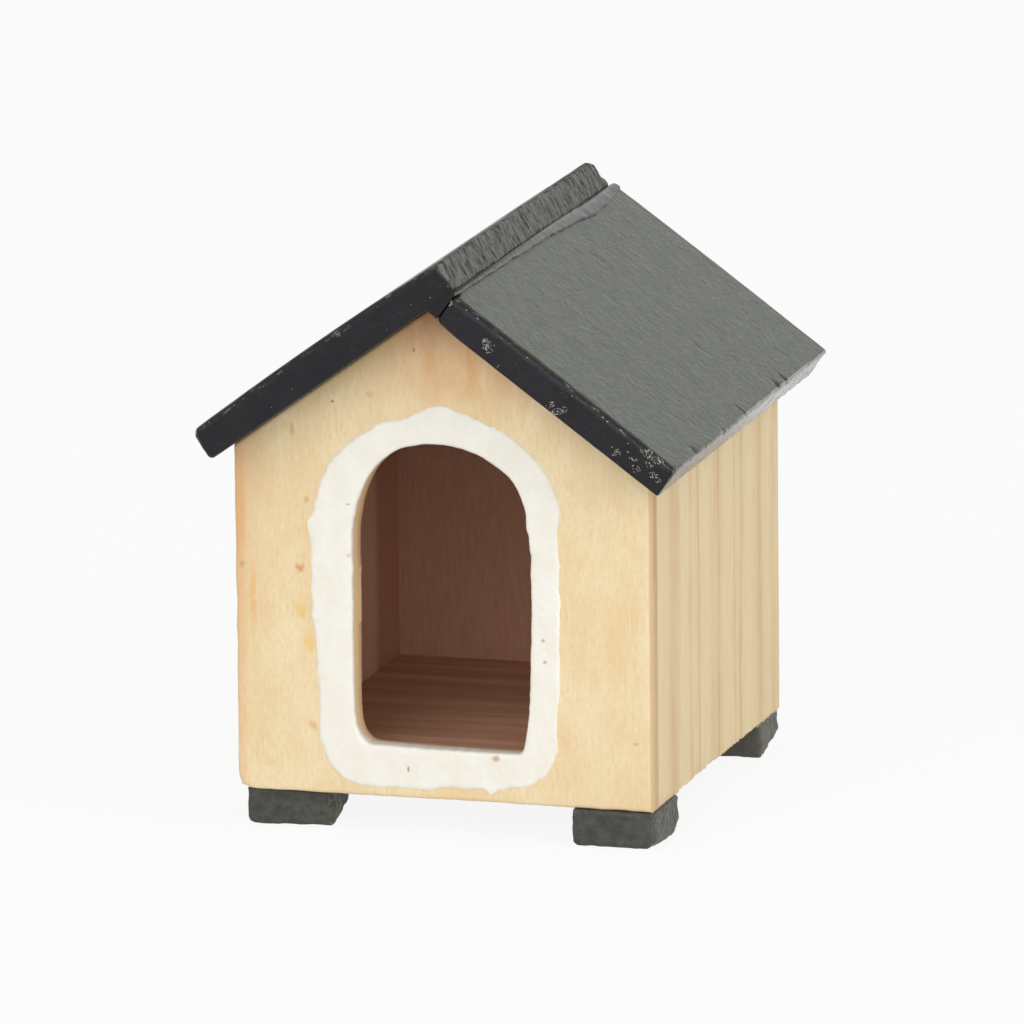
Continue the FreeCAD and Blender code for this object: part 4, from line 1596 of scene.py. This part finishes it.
# %% [markdown]
# Each chip in the list is where the paint is broken: how far up the slope and
# how far off it, on a roof board's front face, and how large it is.  A chip
# is a few crumbs scattered about that place by fixed random numbers, and a
# large one also has a broken rim.  On the left board, the marks along the upper
# front edge are partly scuffs and partly a painted highlight of that edge.

# %% Chips and scratches
ROOF_CHIPS = {
    1: (
        (0.64, 3.77, 0.9), (1.45, 1.98, 0.5), (0.31, 1.15, 0.5), (1.04, 1.22, 0.3),
        (-0.5, 2.75, 0.6), (-0.95, 3.8, 0.8), (-1.49, 1.76, 0.5), (-2.18, 1.91, 0.6),
        (-2.57, 1.55, 0.4), (-0.7, 2.5, 0.4), (0.12, 3.47, 0.5), (3.05, 2.93, 0.35),
        (2.39, 2.18, 0.3), (3.40, 1.37, 0.5), (4.33, 1.44, 0.3), (3.49, 0.74, 0.4),
        (4.60, 3.81, 0.4), (6.59, 3.62, 0.35), (7.15, 3.66, 0.3), (8.61, 3.85, 0.3),
        (11.59, 3.36, 0.3), (13.04, 0.85, 0.5), (11.89, 0.70, 0.6), (12.95, 1.23, 0.3),
        (11.47, 1.32, 0.5), (12.1, 0.3, 0.5), (23.15, 1.86, 0.7), (22.78, 1.44, 0.6),
        (23.6, 2.01, 0.5), (22.49, 2.17, 0.4), (20.6, 0.6, 0.35), (18.46, 3.69, 0.3),
        (25.95, 3.75, 0.3), (27.51, 3.77, 0.3), (29.86, 3.06, 0.6), (29.5, 2.9, 0.4),
    ),
    # Marks 3.8 off the slope lie on the upper front edge: partly scuffs, partly a painted
    # highlight.
    -1: (
        (35.82, 0.93, 0.35), (34.6, 3.9, 0.35), (22.88, 3.8, 0.3), (21.07, 3.8, 0.5),
        (19.64, 3.8, 0.45), (12.16, 3.8, 0.45), (9.19, 3.8, 0.3), (6.73, 3.8, 0.4),
        (5.35, 3.8, 0.3), (1.64, 3.8, 0.3), (12.61, 1.42, 0.2), (9.15, 1.09, 0.2),
        (30.93, 1.59, 0.2), (26.61, 0.78, 0.2), (33.3, 1.0, 0.25),
    ),
}


def scatter(centre, spread, count, seed):
    """Fixed random steps about a place, in each axis."""
    cells = np.stack([np.arange(count), np.full(count, int(100 * centre[0])),
                      np.full(count, int(100 * centre[2]))], 1)
    return np.stack([hashed(cells, seed + n) for n in range(3)], axis=1) * spread


def broken_ring(centre, amount, turn_by):
    """Short marks round the rim of a large chip, where the paint's edge caught the light."""
    turns = np.arange(0.0, 2 * math.pi, 0.16 / amount)
    for turn, step in zip(turns, scatter(centre + 3.0, (1.0, 0.12, 0.12), len(turns), 311)):
        if step[0] < 0.30 * math.sin(2 * turn + turn_by) - 0.15:
            wide = 0.84 * amount + step[1]
            yield (centre + (wide * math.cos(turn), 0.0, 0.8 * wide * math.sin(turn)),
                   (-math.sin(turn), 0.0, math.cos(turn)), (0.11, 0.034, 0.03))


def chips_on_front(side, surface):
    marks = []
    for up, lift, amount in ROOF_CHIPS[side]:
        centre = slope_place(side, *(np.array([v]) for v in (up, -FRONT_OVER, lift)))[0]
        for step in scatter(centre, (0.40 * amount, 0.0, 0.30 * amount), 1 + int(4 * amount), 301):
            half_length = 0.07 + 0.12 * amount * abs(step[0] / (0.40 * amount))
            marks.append((centre + step, (step[2] + 0.2, 0.0, step[0] - 0.1),
                          (half_length, 0.045 + 0.02 * amount, 0.035)))
        if amount > 0.45:
            marks += broken_ring(centre, amount, up)
    word, material = ("left", worn_paint_and_highlight) if side < 0 else ("right", chip_wood)
    crumb_piece("paint_chips_" + word, "black_paint", *zip(*marks), material, surface,
                ragged=0.06, grain=0.10, seed=side + 3)


chips_on_front(1, right_roof)
chips_on_front(-1, left_roof)
print(sum(len(chips) for chips in ROOF_CHIPS.values()), "chips")

# Scratches on the right board's top: the two ends of a line, each up the slope and back
TOP_MARKS = (
    ((7.9, 32.1), (7.1, 32.3)), ((-2.2, 24.7), (-3.2, 24.6)), ((23.8, 35.4), (23.2, 35.7)),
    ((11.1, 49.9), (10.4, 51.9)), ((-2.3, 39.6), (-3.3, 39.9)), ((-1.9, 43.9), (-3.3, 42.3)),
    ((6.9, 7.6), (6.8, 7.8)), ((-3.0, 44.6), (-3.4, 46.5)), ((0.5, 12.2), (0.2, 12.4)),
)
FOOT_MARKS = {
    # lines of places (y, z) on a foot's right face
    "front_right_foot": (((0.1, 0.8), (2.1, 1.5), (4.2, 2.2), (5.2, 3.7)),
                         ((2.8, 3.3), (4.6, 4.3)), ((5.9, 4.15), (5.2, 3.0)),
                         ((7.5, 2.2), (8.8, 3.4)), ((1.2, 4.2), (2.3, 3.8))),
    "rear_right_foot": (((48.6, 2.2), (50.3, 2.5), (53.1, 2.9), (54.8, 3.6)),
                        ((53.4, 3.9), (55.0, 3.3)), ((50.6, 3.9), (51.8, 3.4))),
}


def along_line(line, spacing=0.22):
    """Places and directions at even steps along a line of points."""
    line = np.asarray(line, float)
    for start, end in zip(line[:-1], line[1:]):
        length = np.linalg.norm(end - start)
        for share in np.arange(0, 1, spacing / length):
            yield start + (end - start) * share, (end - start) / length


def roof_marks():
    places, along = [], []
    for (up_a, back_a), (up_b, back_b) in TOP_MARKS:
        ends = slope_place(1, np.array([up_a, up_b]), np.array([back_a, back_b]),
                           np.array([THICK, THICK]))
        for place, direction in along_line(ends):
            places.append(place)
            along.append(direction)
    sizes = [(0.15, 0.045, 0.03)] * len(places)
    crumb_piece("roof_scratches", "black_paint", places, along, sizes, worn_paint_and_highlight, right_roof,
                ragged=0.07, grain=0.12, seed=5)


def foot_marks(node):
    places, along = [], []
    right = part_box(node)[1].x / MM - HOUSE_ORIGIN[0]
    for line in FOOT_MARKS[node]:
        for place, direction in along_line([(right, y, z) for y, z in line]):
            places.append(place)
            along.append(direction)
    sizes = [(0.15, 0.05, 0.035)] * len(places)
    crumb_piece(node.replace("foot", "scratches"), "black_paint", places, along, sizes, worn_paint_and_highlight,
                feet[node], ragged=0.08, grain=0.15, seed=6)


roof_marks()
for node in FOOT_MARKS:
    foot_marks(node)

# %% [markdown]
# The splinters hang from the right wall's lower edge and lie over the tops of
# the feet.  The glue is a broken brown line where each foot meets the house.

# %% Splinters and glue
def splinters():
    count = 150
    steps = np.stack([hashed(np.stack([np.arange(count), np.full(count, 7), np.full(count, 3)], 1),
                             400 + n)
                      for n in range(3)], axis=1)
    back = np.concatenate([np.linspace(0.2, 11.5, 110),
                           np.linspace(45.5, DEPTH - 0.4, count - 110)])
    over_foot = np.concatenate([np.ones(110), np.full(count - 110, 0.6)])
    low = GROUND_GAP + 0.12 + 0.16 * steps[:, 0]
    places = np.stack([WALL_HALF - 0.02 - 0.05 * np.abs(steps[:, 1]), back, low], axis=1)
    along = np.stack([0.10 * np.abs(steps[:, 2]), 0.9 * steps[:, 1], -1.0 - 0.0 * back], axis=1)
    sizes = np.stack([(0.20 + 0.24 * np.abs(steps[:, 2])) * over_foot, 0.05 + 0.0 * back,
                      0.04 + 0.0 * back], axis=1)
    return crumb_piece("wall_splinters", "side_wood", places, along, sizes, splinter_wood,
                       ragged=0.08, grain=0.2, seed=7)


def glue_line(node):
    low, high = (np.array(corner) / MM - HOUSE_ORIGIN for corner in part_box(node))
    front = [(x, low[1] + 0.25, high[2] - 0.08)
             for x in np.arange(low[0] + 0.9, high[0] - 0.9, 0.42)]
    side = [(high[0] - 0.25, y, high[2] - 0.08)
            for y in np.arange(low[1] + 0.9, high[1] - 0.9, 0.42)]
    sizes = [(0.26, 0.10, 0.07)] * (len(front) + len(side))
    along = [(1, 0, 0)] * len(front) + [(0, 1, 0)] * len(side)
    crumb_piece(node.replace("foot", "glue"), "side_wood", front + side, along, sizes, old_glue,
                feet[node],
                ragged=0.16, grain=0.3, seed=8)


splinters()
for node in feet:
    glue_line(node)
